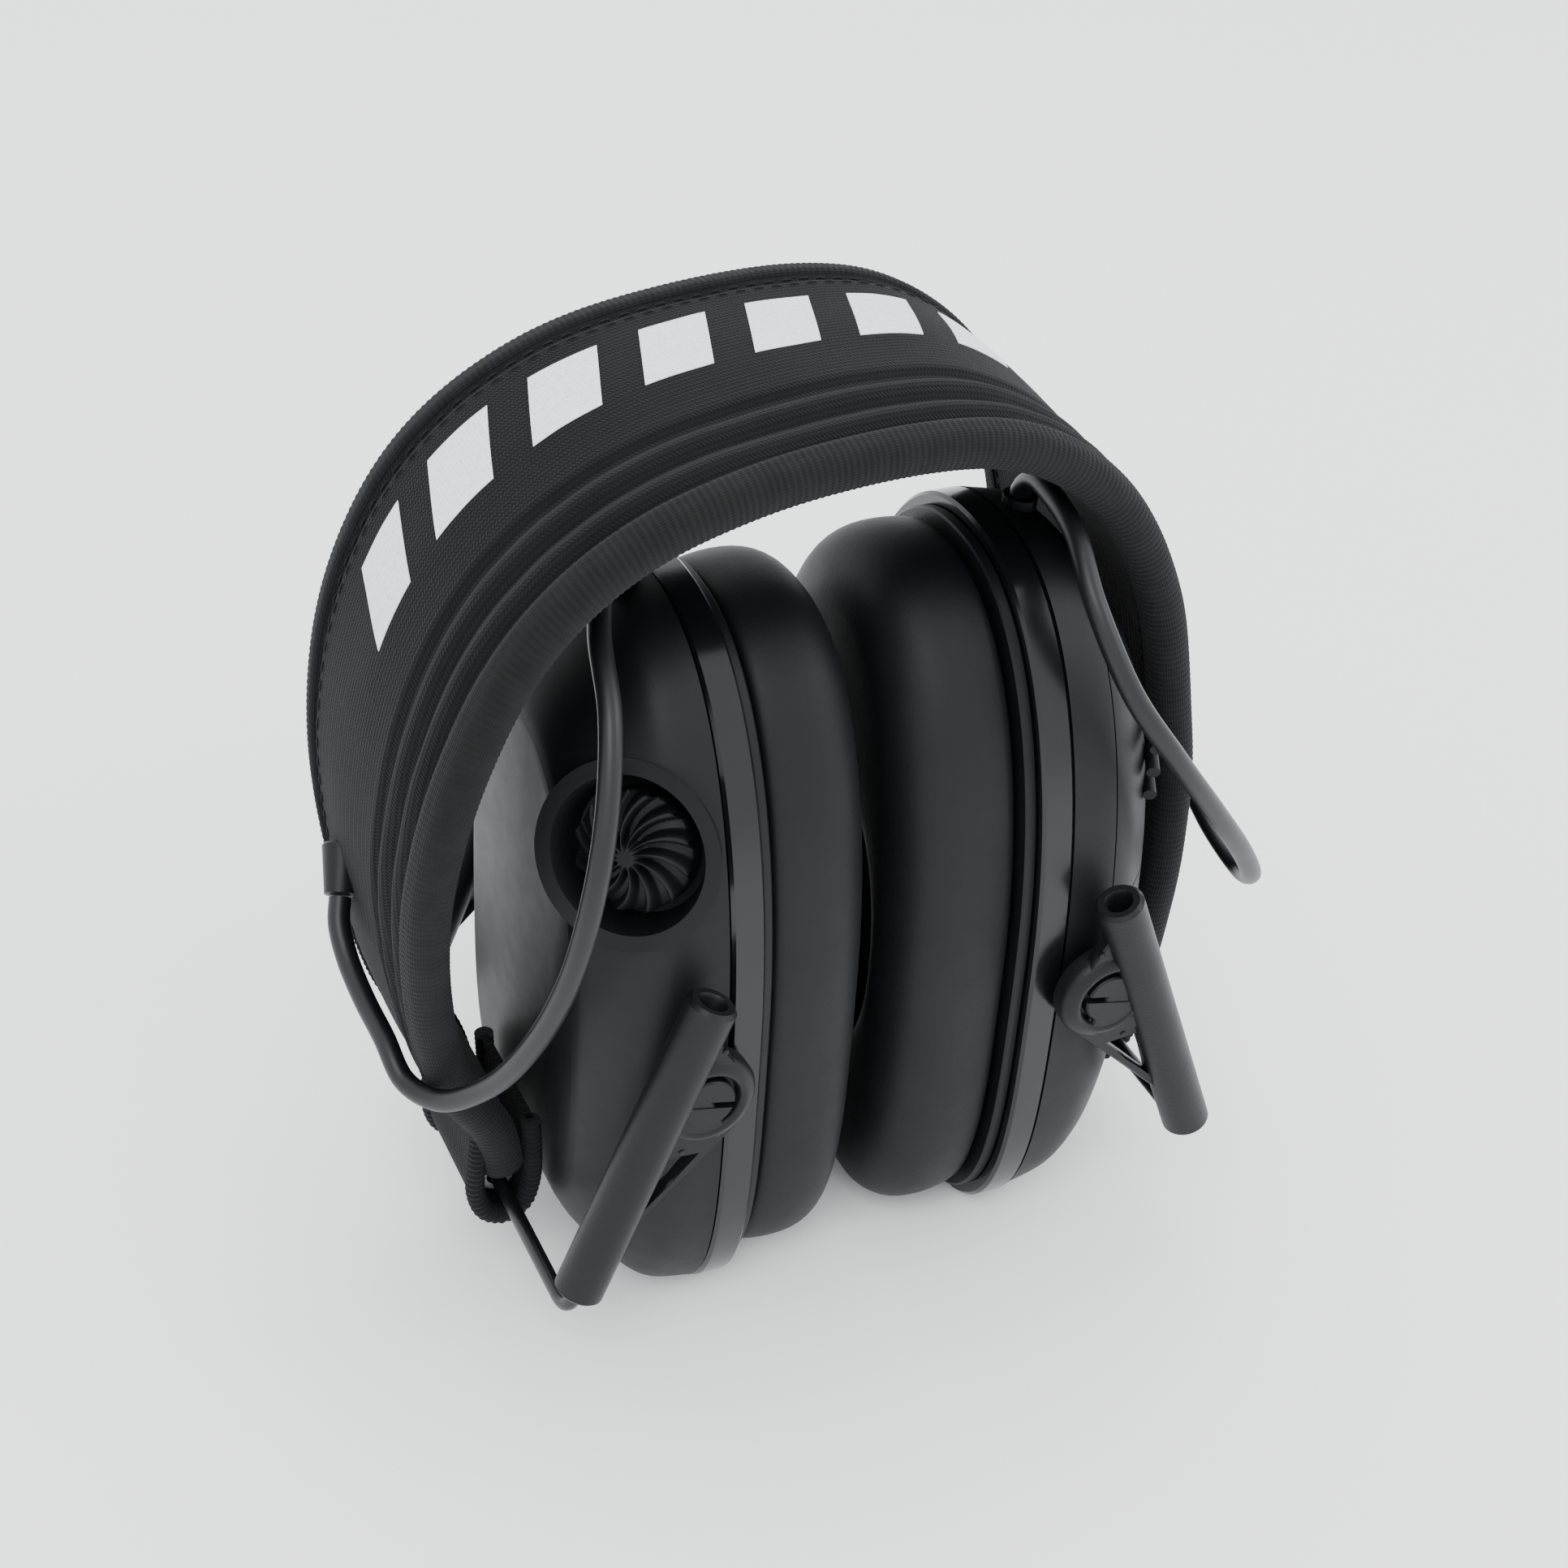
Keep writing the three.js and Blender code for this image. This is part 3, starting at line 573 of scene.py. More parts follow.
BLACK = (0.0040, 0.0045, 0.0053)
MATERIALS = {
    "shell_plastic": plastic("shell_plastic", BLACK, 0.5),
    "ring_plastic": plastic(
        "ring_plastic", shade(BLACK, 0.8), 0.2, grain=0.000006, specular=0.4, rough_spread=0.05,
    ),
    "cushion_skin": soft_skin("cushion_skin", shade(BLACK, 0.95)),
    "knit_fabric": knit_fabric("knit_fabric", shade(BLACK, 0.8)),
    "ribbed_binding": woven_tape("ribbed_binding", shade(BLACK, 1.25)),
    "printed_mark": screen_print("printed_mark", (0.74, 0.76, 0.78)),
    "nylon": plastic("nylon", shade(BLACK, 1.15), 0.42, grain=0.00004, grain_scale=1800),
    "coated_wire": plastic("coated_wire", shade(BLACK, 0.9), 0.32, specular=0.45),
    "spring_steel": metal("spring_steel", (0.5, 0.5, 0.51), 0.3),
    "cable_jacket": plastic("cable_jacket", shade(BLACK, 1.1), 0.4, grain=0.00001, specular=0.35),
    "foam": foam_cells("foam", (0.03, 0.03, 0.032)),
    "speaker_body": plastic("speaker_body", (0.03, 0.03, 0.033), 0.4),
    "circuit_board": circuit("circuit_board", (0.02, 0.12, 0.06)),
    "battery_wrap": plastic("battery_wrap", (0.07, 0.075, 0.08), 0.25),
    "contact_brass": metal("contact_brass", (0.72, 0.58, 0.28), 0.25),
    "capsule_metal": metal("capsule_metal", (0.7, 0.7, 0.72), 0.3),
}


def dress(obj, slot_name):
    obj.data.materials.clear()
    obj.data.materials.append(MATERIALS[slot_name])


def piece(obj, body, slot_name, *replaced):
    """Gives a finished piece its material, its body and the CAD nodes that it stands for."""
    dress(obj, slot_name)
    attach(obj, body)
    if replaced:
        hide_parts(*replaced)
    return obj


# ---- Camera ----
CAMERA_AZIMUTH = math.radians(26.7)  # to the -X side of straight in front
CAMERA_ELEVATION = math.radians(35.7)
CAMERA_ROLL = math.radians(3.95)
CAMERA_DISTANCE = 463.0
CAMERA_TARGET = Vector((FOLD_CENTRE_X, 0, PIVOT_Z))
LENS_MM = 63.91
SENSOR_MM = 36.0
TARGET_OFFSET = (0.00697, 0.03968)  # the target's place right of and below the middle, per unit of distance


def add_camera():
    sin_a, cos_a = math.sin(CAMERA_AZIMUTH), math.cos(CAMERA_AZIMUTH)
    sin_e, cos_e = math.sin(CAMERA_ELEVATION), math.cos(CAMERA_ELEVATION)
    back = Vector((-sin_a * cos_e, -cos_a * cos_e, sin_e))
    level_right = Vector((cos_a, -sin_a, 0))
    level_up = back.cross(level_right)
    right = level_right * math.cos(CAMERA_ROLL) + level_up * math.sin(CAMERA_ROLL)
    up = back.cross(right)
    shift = right * -TARGET_OFFSET[0] + up * TARGET_OFFSET[1]
    data = bpy.data.cameras.new("camera")
    data.lens = LENS_MM
    data.sensor_width = SENSOR_MM
    data.clip_start = 0.01
    camera = bpy.data.objects.new("camera", data)
    camera.matrix_world = Matrix((right, up, back)).transposed().to_4x4()
    camera.location = (CAMERA_TARGET + (back + shift) * CAMERA_DISTANCE) * MM
    bpy.context.scene.collection.objects.link(camera)
    bpy.context.scene.camera = camera


# ---- Cables ----
CABLE_ROUTES = {
    "left": [
        (-25.7, 2, 124.9), (-26, 2, 127.9), (-27.6, -1.4, 131.9), (-32.6, -9, 133.4), (-37.5, -20, 131.2),
        (-40.1, -31, 125), (-43.3, -38.5, 113.8), (-46.7, -42, 101.5), (-49.7, -41, 87.5),
        (-53.5, -36, 72.5), (-57.7, -29, 60.5), (-62.9, -21.4, 53.2), (-66.2, -14.8, 52.8),
        (-67.6, -9.4, 57.6), (-69.7, -6.6, 63.8), (-71, -3, 69.4), (-71, 0.8, 73.4), (-69.9, 3.5, 76),
    ],
    "right": [
        (41.7, 2, 124.9), (42, 2, 127.9), (42, -1.6, 131.6), (41.3, -8.5, 132.4), (40.1, -18, 131.2),
        (39.1, -27, 125), (42.9, -35, 112.6), (50.1, -38.2, 101.5), (60.5, -36.6, 87.5),
        (71, -32, 73.5), (78.5, -26, 62.4), (81.1, -19.4, 58.2), (79.9, -11.5, 61.5),
        (78.1, -3, 68.5), (76.6, 5, 74), (74.6, 11.4, 78), (72.4, 14.4, 81),
    ],
}
RELIEF_LENGTH = 8.0


def add_cable(side):
    """A cable from its cup's grommet to the band, and the moulded boot that it ends in."""
    line = Line(catmull(CABLE_ROUTES[side]))
    cable = tube(f"cable_jacket_{side}", line, CABLE_RADIUS, sides=20, spacing=1.0)
    piece(cable, f"cup_{side}", "cable_jacket", f"cable_{side}")
    end = line.point(line.length)
    profile = [(0.3, 2.0), (0.5, 2.5), (RELIEF_LENGTH, 3.3), (RELIEF_LENGTH + 0.4, 3.0)]
    relief = lathe(f"cable_boot_{side}", end, line.direction(line.length), profile, 32)
    piece(relief, "headband", "nylon", f"cable_relief_{side}")


# ---- Headband ----
def side_of(x):
    return "left" if x < ARCH_CENTRE_X else "right"


def arch_point(angle):
    """A point of the folded arch, whose halves differ in span and in roundness."""
    c, s = math.cos(angle), math.sin(angle)
    side = "left" if c < 0 else "right"
    power = 2 / ARCH_ROUNDNESS[side]
    x = ARCH_CENTRE_X + ARCH_SPAN[side] * math.copysign(abs(c) ** power, c)
    return Vector((x, 0, BAND_SHOULDER_Z + (ARCH_TOP_Z - BAND_SHOULDER_Z) * abs(s) ** power))


def band_line():
    end_z = PIVOT_Z + HINGE_Z + BAND_END_GAP
    left, right = FOLD_CENTRE_X - HINGE_U, FOLD_CENTRE_X + HINGE_U
    points = [(left, 0, end_z), (left - 2.4, 0, end_z + 10), (left - 10.6, 0, end_z + 26)]
    points += [arch_point(math.radians(172 - 20.5 * i)) for i in range(9)]
    points += [(right + 0.8, 0, end_z + 26), (right + 0.6, 0, end_z + 10), (right, 0, end_z)]
    return Line(catmull(points))


BAND = band_line()
TAPE_LAP = (3.4, 5.6)  # how far the binding laps onto the cover, at the band's ends and over the head


def band_width(s):
    point = BAND.point(s)
    low, high = TAPER_Z[side_of(point.x)]
    return BAND_WIDTH_END + (BAND_WIDTH_TOP - BAND_WIDTH_END) * smoothstep(low, high, point.z)


def band_skew(point):
    share = smoothstep(*SKEW_Z, point.z)
    return share * (SKEW_MIDDLE + SKEW_PER_MILLIMETRE * (point.x - ARCH_CENTRE_X))


def band_place(s, y, out):
    """A point of the band: distance along it, place across it, and height off its middle surface."""
    middle = BAND.point(s)
    along = BAND.direction(s)
    return middle + Vector((-along.z, 0, along.x)) * out + Vector((0, y + band_skew(middle), 0))


def across_scale(s):
    return band_width(s) / BAND_WIDTH_TOP


def tape_lap(s):
    low, high = TAPE_LAP
    return low + (high - low) * smoothstep(0.45, 1.0, across_scale(s))


FRONT_RIDGES = [(-20.9, 3.1), (-14.2, 3.2)]  # middle and half width of each padded channel, over the head
REAR_SEAM = 23.2
SKIN = BAND_THICKNESS / 2


def cover_height(s, y):
    """The outer cover's height off the band's middle: two channels by the front edge and a crowned panel."""
    scale = across_scale(s)
    at = y / scale
    out = SKIN - 0.75
    for middle, half in FRONT_RIDGES:
        out += 1.35 * ridge(at, middle, half) ** 0.55
    panel = min(smoothstep(-10.6, -8.2, at), 1 - smoothstep(REAR_SEAM - 1.2, REAR_SEAM, at))
    out += panel * (1.0 + 0.35 * ridge(at, 6.5, 17))
    out += 0.7 * smoothstep(REAR_SEAM + 0.2, REAR_SEAM + 2.4, at)
    rumple = noise.noise(Vector((s * 0.035, y * 0.07, 3.1)))
    crease = noise.noise(Vector((s * 0.16, y * 0.05, 9.4)))
    return out + 0.35 * rumple + 0.12 * crease


def inner_height(s, y):
    """The lining's height off the band's middle, on the head's side."""
    half = band_width(s) / 2
    rumple = noise.noise(Vector((s * 0.05, y * 0.08, 21.0)))
    return -SKIN + 0.2 - 0.3 * ridge(y, 0, half) + 0.25 * rumple


def cover(name, height, inner_skin):
    """One face of the band, from its outer surface in to a flat inner skin."""
    across_count = 96
    places = steps(0, BAND.length, int(BAND.length / 1.1))
    vertices, grain = [], []
    for s in places:
        half = band_width(s) / 2 - 2.4
        for k in range(across_count + 1):
            y = -half + 2 * half * k / across_count
            vertices.append(band_place(s, y, height(s, y)))
            grain.append((s, y))
        for y in (half, -half):
            vertices.append(band_place(s, y, inner_skin))
            grain.append((s, y))
    faces = ring_faces(len(places), across_count + 3)
    return mesh_object(name, vertices, faces, weave=grain)


def tape_section(half_width, lap):
    """(y, out, how much the ribs show) round a band edge: over the face, round the edge and under."""
    edge_round = 3.1
    top = SKIN + 0.35
    inner = half_width - lap
    points = [(inner, top - 0.9, 0.0), (inner + 0.15, top - 0.2, 0.6)]
    for k in range(1, 4):
        points.append((inner + (lap - edge_round) * k / 4, top + 0.25 * math.sin(k * math.pi / 4), 1.0))
    for k in range(13):
        angle = math.pi / 2 - math.pi * k / 12
        y = half_width - edge_round + edge_round * math.cos(angle)
        points.append((y, top * math.sin(angle), 1.0))
    for k in range(3, 0, -1):
        points.append((inner + (lap - edge_round) * k / 4, -top, 1.0))
    return points + [(inner + 0.15, -top + 0.2, 0.6), (inner, -top + 0.9, 0.0)]


def binding(name, side):
    """The ribbed tape round the band's front (-1) or rear (1) edge."""
    places = steps(0, BAND.length, int(BAND.length / RIB_PITCH) * 4)
    vertices, grain = [], []
    for s in places:
        half = band_width(s) / 2
        rib = 0.5 + 0.5 * math.cos(2 * math.pi * s / RIB_PITCH)
        soft = 0.25 * noise.noise(Vector((s * 0.07, side * 4.0, 1.5)))
        section = tape_section(half + soft, tape_lap(s))
        travelled = 0.0
        previous = None
        for y, out, shows in section:
            if previous:
                travelled += math.hypot(y - previous[0], out - previous[1])
            previous = (y, out)
            grow = 1 + RIB_HEIGHT * rib * shows / 4
            vertices.append(band_place(s, side * (y + (grow - 1) * 2), out * grow))
            grain.append((s, travelled))
    return mesh_object(name, vertices, ring_faces(len(places), len(section)), weave=grain)


STITCH_LENGTH = 2.3
STITCH_PITCH = 3.1
STITCH_RINGS = 5
STITCH_SIDES = 6
THREAD_RADIUS = 0.2


def stitch_row(name, height, y_at, sign):
    """A row of short thread loops lying on the cover."""
    vertices, faces, grain = [], [], []
    s = 6.0
    while s < BAND.length - 6:
        base = len(vertices)
        for i in range(STITCH_RINGS + 1):
            t = i / STITCH_RINGS
            here = s + STITCH_LENGTH * t
            y = y_at(here)
            sink = 0.25 * (abs(2 * t - 1) ** 3)
            centre = band_place(here, y, height(here, y) + sign * (0.12 - sink))
            out = band_place(here, y, 1) - band_place(here, y, 0)
            radius = THREAD_RADIUS * (1 - 0.5 * abs(2 * t - 1) ** 3)
            for k in range(STITCH_SIDES):
                angle = 2 * math.pi * k / STITCH_SIDES
                sideways = Vector((0, math.cos(angle), 0))
                vertices.append(centre + (sideways + out * math.sin(angle)) * radius)
                grain.append((here, k * 0.2))
        faces += [tuple(base + v for v in face) for face in ring_faces(STITCH_RINGS + 1, STITCH_SIDES)]
        s += STITCH_PITCH
    return mesh_object(name, vertices, faces, weave=grain)


def print_bar(corners):
    """A thin mark that follows the cover, from four (along, across) corners."""
    a, b, c, d = (Vector((*corner, 0)) for corner in corners)
    vertices, grain = [], []
    rows = columns = 14
    for lift in (0.12, -0.5):
        for i in range(rows + 1):
            for j in range(columns + 1):
                p = a.lerp(b, j / columns).lerp(d.lerp(c, j / columns), i / rows)
                vertices.append(band_place(p.x, p.y, cover_height(p.x, p.y) + lift))
                grain.append((p.x, p.y))
    layer = (rows + 1) * (columns + 1)
    faces = []
    for i in range(rows):
        for j in range(columns):
            corner = i * (columns + 1) + j
            quad = (corner, corner + 1, corner + columns + 2, corner + columns + 1)
            faces.append(quad)
            faces.append(tuple(layer + v for v in reversed(quad)))
    rim = list(range(columns + 1))
    rim += [i * (columns + 1) + columns for i in range(1, rows + 1)]
    rim += [rows * (columns + 1) + j for j in range(columns - 1, -1, -1)]
    rim += [i * (columns + 1) for i in range(rows - 1, 0, -1)]
    for p, q in zip(rim, rim[1:] + rim[:1]):
        faces.append((p, q, layer + q, layer + p))
    return vertices, faces, grain


PRINT_SPAN = (0.29, 0.71)  # share of the band's length
PRINT_ACROSS = (2.0, 17.0)
PRINT_BARS = 8
PRINT_FILL = 0.62
PRINT_SLANT = 5.0


def add_print():
    """Plain slanted bars in white, over the middle panel."""
    start, end = (share * BAND.length for share in PRINT_SPAN)
    pitch = (end - start) / PRINT_BARS
    low, high = PRINT_ACROSS
    vertices, faces, grain = [], [], []
    for i in range(PRINT_BARS):
        s = start + pitch * i
        width = pitch * PRINT_FILL
        corners = [(s, low), (s + width, low), (s + width + PRINT_SLANT, high), (s + PRINT_SLANT, high)]
        more_vertices, more_faces, more_grain = print_bar(corners)
        base = len(vertices)
        vertices += more_vertices
        grain += more_grain
        faces += [tuple(base + v for v in face) for face in more_faces]
    mark = mesh_object("headband_print", vertices, faces, weave=grain)
    piece(mark, "headband", "printed_mark")


def end_wrap(side):
    """The cover's end, folded round the hinge knuckle: the yoke's crossbar comes out of its open sides."""
    route = [
        (HINGE_U + 4.0, HINGE_Z + 17), (HINGE_U + 4.7, HINGE_Z + 8), (HINGE_U + 4.9, HINGE_Z + 1),
        (HINGE_U + 3.2, HINGE_Z - 3.6), (HINGE_U + 0.2, HINGE_Z - 5.2), (HINGE_U - 3.0, HINGE_Z - 3.8),
        (HINGE_U - 4.6, HINGE_Z + 0.6), (HINGE_U - 4.9, HINGE_Z + 6), (HINGE_U - 4.6, HINGE_Z + 14),
    ]
    line = Line(catmull([place(side, u, 0, z) for u, z in route]))
    places = steps(0, line.length, 80)
    half = BAND_WIDTH_END / 2 - 1.0
    vertices, grain = [], []
    for s in places:
        middle, along = line.point(s), line.direction(s)
        out = Vector((-along.z, 0, along.x)) * -SIDES[side]
        for y, lift in [(-half + 2 * half * k / 24, 0.7) for k in range(25)] + [(half, -0.7), (-half, -0.7)]:
            soft = 0.3 * noise.noise(Vector((s * 0.12, y * 0.12, 5.0 + SIDES[side])))
            vertices.append(middle + Vector((0, y, 0)) + out * (lift + soft))
            grain.append((s, y))
    wrap = mesh_object(f"band_end_{side}", vertices, ring_faces(len(places), 27), weave=grain)
    piece(wrap, "headband", "knit_fabric")
    edges = []
    for y in (-1, 1):
        rope_line = Line([p + Vector((0, y * (half + 0.4), 0)) for p in line.points])

        def radius(s):
            return 1.55 + 0.12 * math.cos(2 * math.pi * s / RIB_PITCH)

        edges.append(tube(f"edge_{side}_{y}", rope_line, radius, 14, RIB_PITCH / 4, weave=True))
    rope = join(f"band_end_edges_{side}", edges)
    piece(rope, "headband", "ribbed_binding")


def add_headband():
    outer = cover("headband_cover", cover_height, 0.8)
    piece(outer, "headband", "knit_fabric", "headband_outer_pad")
    inner = cover("headband_lining", inner_height, -0.8)
    piece(inner, "headband", "knit_fabric", "headband_inner_pad")
    piece(binding("binding_front", -1), "headband", "ribbed_binding", "headband_front_binding")
    piece(binding("binding_rear", 1), "headband", "ribbed_binding", "headband_rear_binding")

    def tape_edge(s, sign, inset=0.7):
        return sign * (band_width(s) / 2 - tape_lap(s) - inset)

    rows = [
        stitch_row("stitches_a", cover_height, lambda s: tape_edge(s, -1), 1),
        stitch_row("stitches_b", cover_height, lambda s: tape_edge(s, 1), 1),
        stitch_row("stitches_c", cover_height, lambda s: (REAR_SEAM - 0.6) * across_scale(s) - 1.2, 1),
        stitch_row("stitches_d", inner_height, lambda s: tape_edge(s, -1), -1),
        stitch_row("stitches_e", inner_height, lambda s: tape_edge(s, 1), -1),
    ]
    piece(join("headband_stitches", rows), "headband", "ribbed_binding")
    add_print()
    for side in SIDES:
        end_wrap(side)


# ---- Yoke, clips and screws ----
TUBE_FOOT = (PIVOT_U + CLIP_OFFSET * math.cos(CLIP_LEAN), CLIP_OFFSET * math.sin(CLIP_LEAN))


def on_tube(distance):
    """(u, z) of a point on the clip tube's axis, by its distance up the tube."""
    u = TUBE_FOOT[0] - math.sin(CLIP_LEAN) * distance
    return u, TUBE_FOOT[1] + math.cos(CLIP_LEAN) * distance


def tube_place(side, distance, y):
    u, z = on_tube(distance)
    return place(side, u, y, z)


def add_yoke(side):
    points = []
    for sign in (-1, 1):
        leg = [tube_place(side, WIRE_ABOVE - k * 1.5, sign * TUBE_Y) for k in range(32)]
        corner_top = tube_place(side, -WIRE_BELOW + WIRE_BEND_RADIUS, sign * TUBE_Y)
        corner = tube_place(side, -WIRE_BELOW, sign * TUBE_Y)
        corner_bar = tube_place(side, -WIRE_BELOW, sign * (TUBE_Y - WIRE_BEND_RADIUS))
        bend = []
        for t in steps(0, 1, 12):
            bend.append(corner_top.lerp(corner, t).lerp(corner.lerp(corner_bar, t), t))
        half = leg + bend
        points += half if sign < 0 else half[::-1]
    wire = tube(f"yoke_rod_{side}", Line(points), WIRE_RADIUS, 20, 0.7)
    piece(wire, f"yoke_{side}", "coated_wire", f"yoke_wire_{side}")


def add_clip(side, end):
    """A clip: its tube on the wire, the boss round the pivot screw, and the webs between them."""
    sign = -1 if end == "front" else 1
    y_axis = Vector((0, sign, 0))
    lean = (tube_place(side, 1, 0) - tube_place(side, 0, 0)).normalized()
    foot = tube_place(side, 0, sign * TUBE_Y)
    bore = WIRE_RADIUS + 0.75
    tube_profile = [
        (-TUBE_BELOW, TUBE_RADIUS - 0.5), (-TUBE_BELOW + 0.5, TUBE_RADIUS), (-20, TUBE_RADIUS),
        (0, TUBE_RADIUS), (TUBE_ABOVE - 0.7, TUBE_RADIUS), (TUBE_ABOVE, TUBE_RADIUS - 0.6),
        (TUBE_ABOVE, bore + 0.35), (TUBE_ABOVE - 0.6, bore),
        (-TUBE_BELOW + 0.6, bore), (-TUBE_BELOW, bore + 0.3),
    ]
    barrel = lathe("barrel", foot, lean, tube_profile, closed=True)
    face = CLIP_FACE_Y
    centre = place(side, PIVOT_U, 0, 0)
    boss_profile = [
        (BOSS_BACK_Y, BOSS_RADIUS - 0.4), (BOSS_BACK_Y + 0.4, BOSS_RADIUS), (face - 1.9, BOSS_RADIUS + 0.1),
        (face - 1.0, BOSS_RADIUS - 0.25), (face - 0.35, BOSS_RADIUS - 0.9), (face + 0.1, BOSS_RADIUS - 1.9),
        (face + 0.15, RECESS_RADIUS + 0.9), (face - 0.1, RECESS_RADIUS + 0.3), (face - 0.6, RECESS_RADIUS),
        (face - RECESS_DEPTH, RECESS_RADIUS - 0.2), (face - RECESS_DEPTH, 2.4), (BOSS_BACK_Y, 2.4),
    ]
    boss = lathe("boss", centre, y_axis, boss_profile, 64, closed=True)
    near, far = sign * 39.0, sign * 41.3
    lower = prism(
        "lower", side, [(29.4, -5.6), on_tube(-1), on_tube(-35)], near, far,
        hole=[(36.2, -10.2), (42.0, -9.9), (45.3, -19.6)],
    )
    upper = prism("upper", side, [(PIVOT_U - 4.4, 6.6), on_tube(2), on_tube(14)], near, far)
    spine_points = [(31.5, -6.2), (35.4, -8.2), (42.3, -7.6), on_tube(-2), (PIVOT_U, 2)]
    spine = prism("spine", side, spine_points, near, sign * 41.9)
    dimples = []
    for u, z in ((38.9, -8.9), (47.2, -22.6), (32.4, 9.3)):
        profile = [(40.8, 0.5), (41.42, 0.5), (41.5, 0.38)]
        dimples.append(lathe("dimple", place(side, u, 0, z), y_axis, profile, 16))
    body = join(f"clip_body_{end}_{side}", [barrel, boss, lower, upper, spine] + dimples)
    piece(body, f"clips_{side}", "nylon", f"clip_{end}_{side}")
    add_screw(side, end, centre, y_axis)


SLOT_TILT = math.radians(-14)
SLOT_HALF_WIDTH = 0.62


def add_screw(side, end, centre, y_axis):
    """A round head in two halves, with a slot between them."""
    face = CLIP_FACE_Y + 0.05
    head_radius = RECESS_RADIUS - 0.75
    floor = face - 1.3
    profile = [(31.6, 1.9), (39.9, 1.9), (40.2, head_radius), (floor, head_radius)]
    base = lathe("base", centre, y_axis, profile)
    along = Vector((math.cos(SLOT_TILT), 0, math.sin(SLOT_TILT)))
    across = Vector((-along.z, 0, along.x))
    halves = []
    for half in (-1, 1):
        outline = []
        start = math.asin(SLOT_HALF_WIDTH / head_radius)
        for angle in steps(start, math.pi - start, 28):
            outline.append(along * math.cos(angle) + across * half * math.sin(angle))
        vertices = []
        for y, inset in ((floor - 0.2, 0.0), (face - 0.3, 0.0), (face, 0.28)):
            for point in outline:
                vertices.append(centre + y_axis * y + point * (head_radius - inset))
        halves.append(mesh_object("half", vertices, ring_faces(3, len(outline))))
    screw = join(f"screw_{end}_{side}", [base] + halves)
    piece(screw, f"clips_{side}", "nylon", f"pivot_screw_{end}_{side}")


# ---- Ear cups ----
def shell_sections(inset=0.0):
    """(u, drawn in at the sides, drawn in at the ends) of the shell, smoothed between its given sections."""
    smooth = catmull([Vector((SHELL_U + depth, a, b)) for depth, a, b in SHELL_SECTIONS], 6)
    return [(p.x, p.y + inset, p.z + inset) for p in smooth]


def hollow_shell(name, side):
    """A cup's shell, open towards the ring: an outer skin, an inner one and the rim between them."""
    outer = [(u, cup_outline(a, b)) for u, a, b in shell_sections()]
    inner = []
    for u, a, b in reversed(shell_sections(WALL)):
        inner.append((max(SHELL_U, u - WALL * smoothstep(SHELL_U + 6, SHELL_U + 20, u)), cup_outline(a, b)))
    count = OUTLINE_POINTS
    sections = outer + inner
    vertices = section_vertices(side, sections)
    faces = []
    for i in range(len(sections)):
        if i == len(outer) - 1:
            continue
        for j in range(count):
            a, b = i * count + j, i * count + (j + 1) % count
            up = ((i + 1) % len(sections) - i) * count
            faces.append((a, b, b + up, a + up))
    last = (len(outer) - 1) * count
    faces.append(tuple(range(last, last + count)))
    faces.append(tuple(range(last + count, last + 2 * count)))
    return mesh_object(name, vertices, faces)


def door_region(side, u, z):
    """A block that holds all of a shell outward of u and above z."""
    high_u, high_z = 70, 80
    corners = [(u, -FAR), (high_u, -FAR), (high_u, FAR), (u, FAR)]
    vertices = [place(side, a, b, c) for c in (z, high_z) for a, b in corners]
    return mesh_object("region", vertices, ring_faces(2, 4))


def knob_place(side, distance):
    return place(side, *(KNOB_CENTRE + KNOB_AXIS * distance))


def add_left_shell():
    """The left shell, with a bowl round the knob."""
    side = "left"
    shell = hollow_shell("shell_left", side)
    axis = place_direction(side, KNOB_AXIS)
    bowl = [
        (-7.4, 0.5), (-7.4, 9.6), (-7.1, 10.4), (-6.0, 11.0), (-3.5, 11.4), (-1.0, 12.1),
        (1.2, 13.2), (3.2, 15.2), (5.5, 19), (5.6, 0.5),
    ]
    pocket = lathe("pocket", knob_place(side, 0), axis, [(d - 1.8, r + 1.6) for d, r in bowl[:7]], 64)
    shell = boolean(shell, pocket, "UNION")
    shell = boolean(shell, lathe("bowl", knob_place(side, 0), axis, bowl, 64), "DIFFERENCE")
    shell.name = "shell_left"
    piece(shell, "cup_left", "shell_plastic", "cup_shell_left")


def add_right_shell():
    """The right shell and the battery door, cut from the same form, with three grip ribs on the door."""
    side = "right"
    door = boolean(hollow_shell("door", side), door_region(side, DOOR_U + 0.25, DOOR_Z + 0.3), "INTERSECT")
    shell = boolean(hollow_shell("shell_right", side), door_region(side, DOOR_U, DOOR_Z), "DIFFERENCE")
    piece(shell, "cup_right", "shell_plastic", "cup_shell_right")
    ribs = []
    for k in range(3):
        points = []
        for t in steps(0, 1, 6):
            points.append(place(side, 46.6 + 2.2 * t, -27.2 + 5.0 * t, 27.5 + 4.4 * k + 1.2 * t))
        ribs.append(tube("rib", Line(catmull(points, 4)), 1.15, 12, 0.5))
    door = join("door_cover", [door] + ribs)
    piece(door, "door", "shell_plastic", "battery_door")


KNOB_RADIUS = 9.2
KNOB_HUB = 0.3
KNOB_BACK = -6.6
KNOB_FINS = 12
KNOB_AROUND = 336


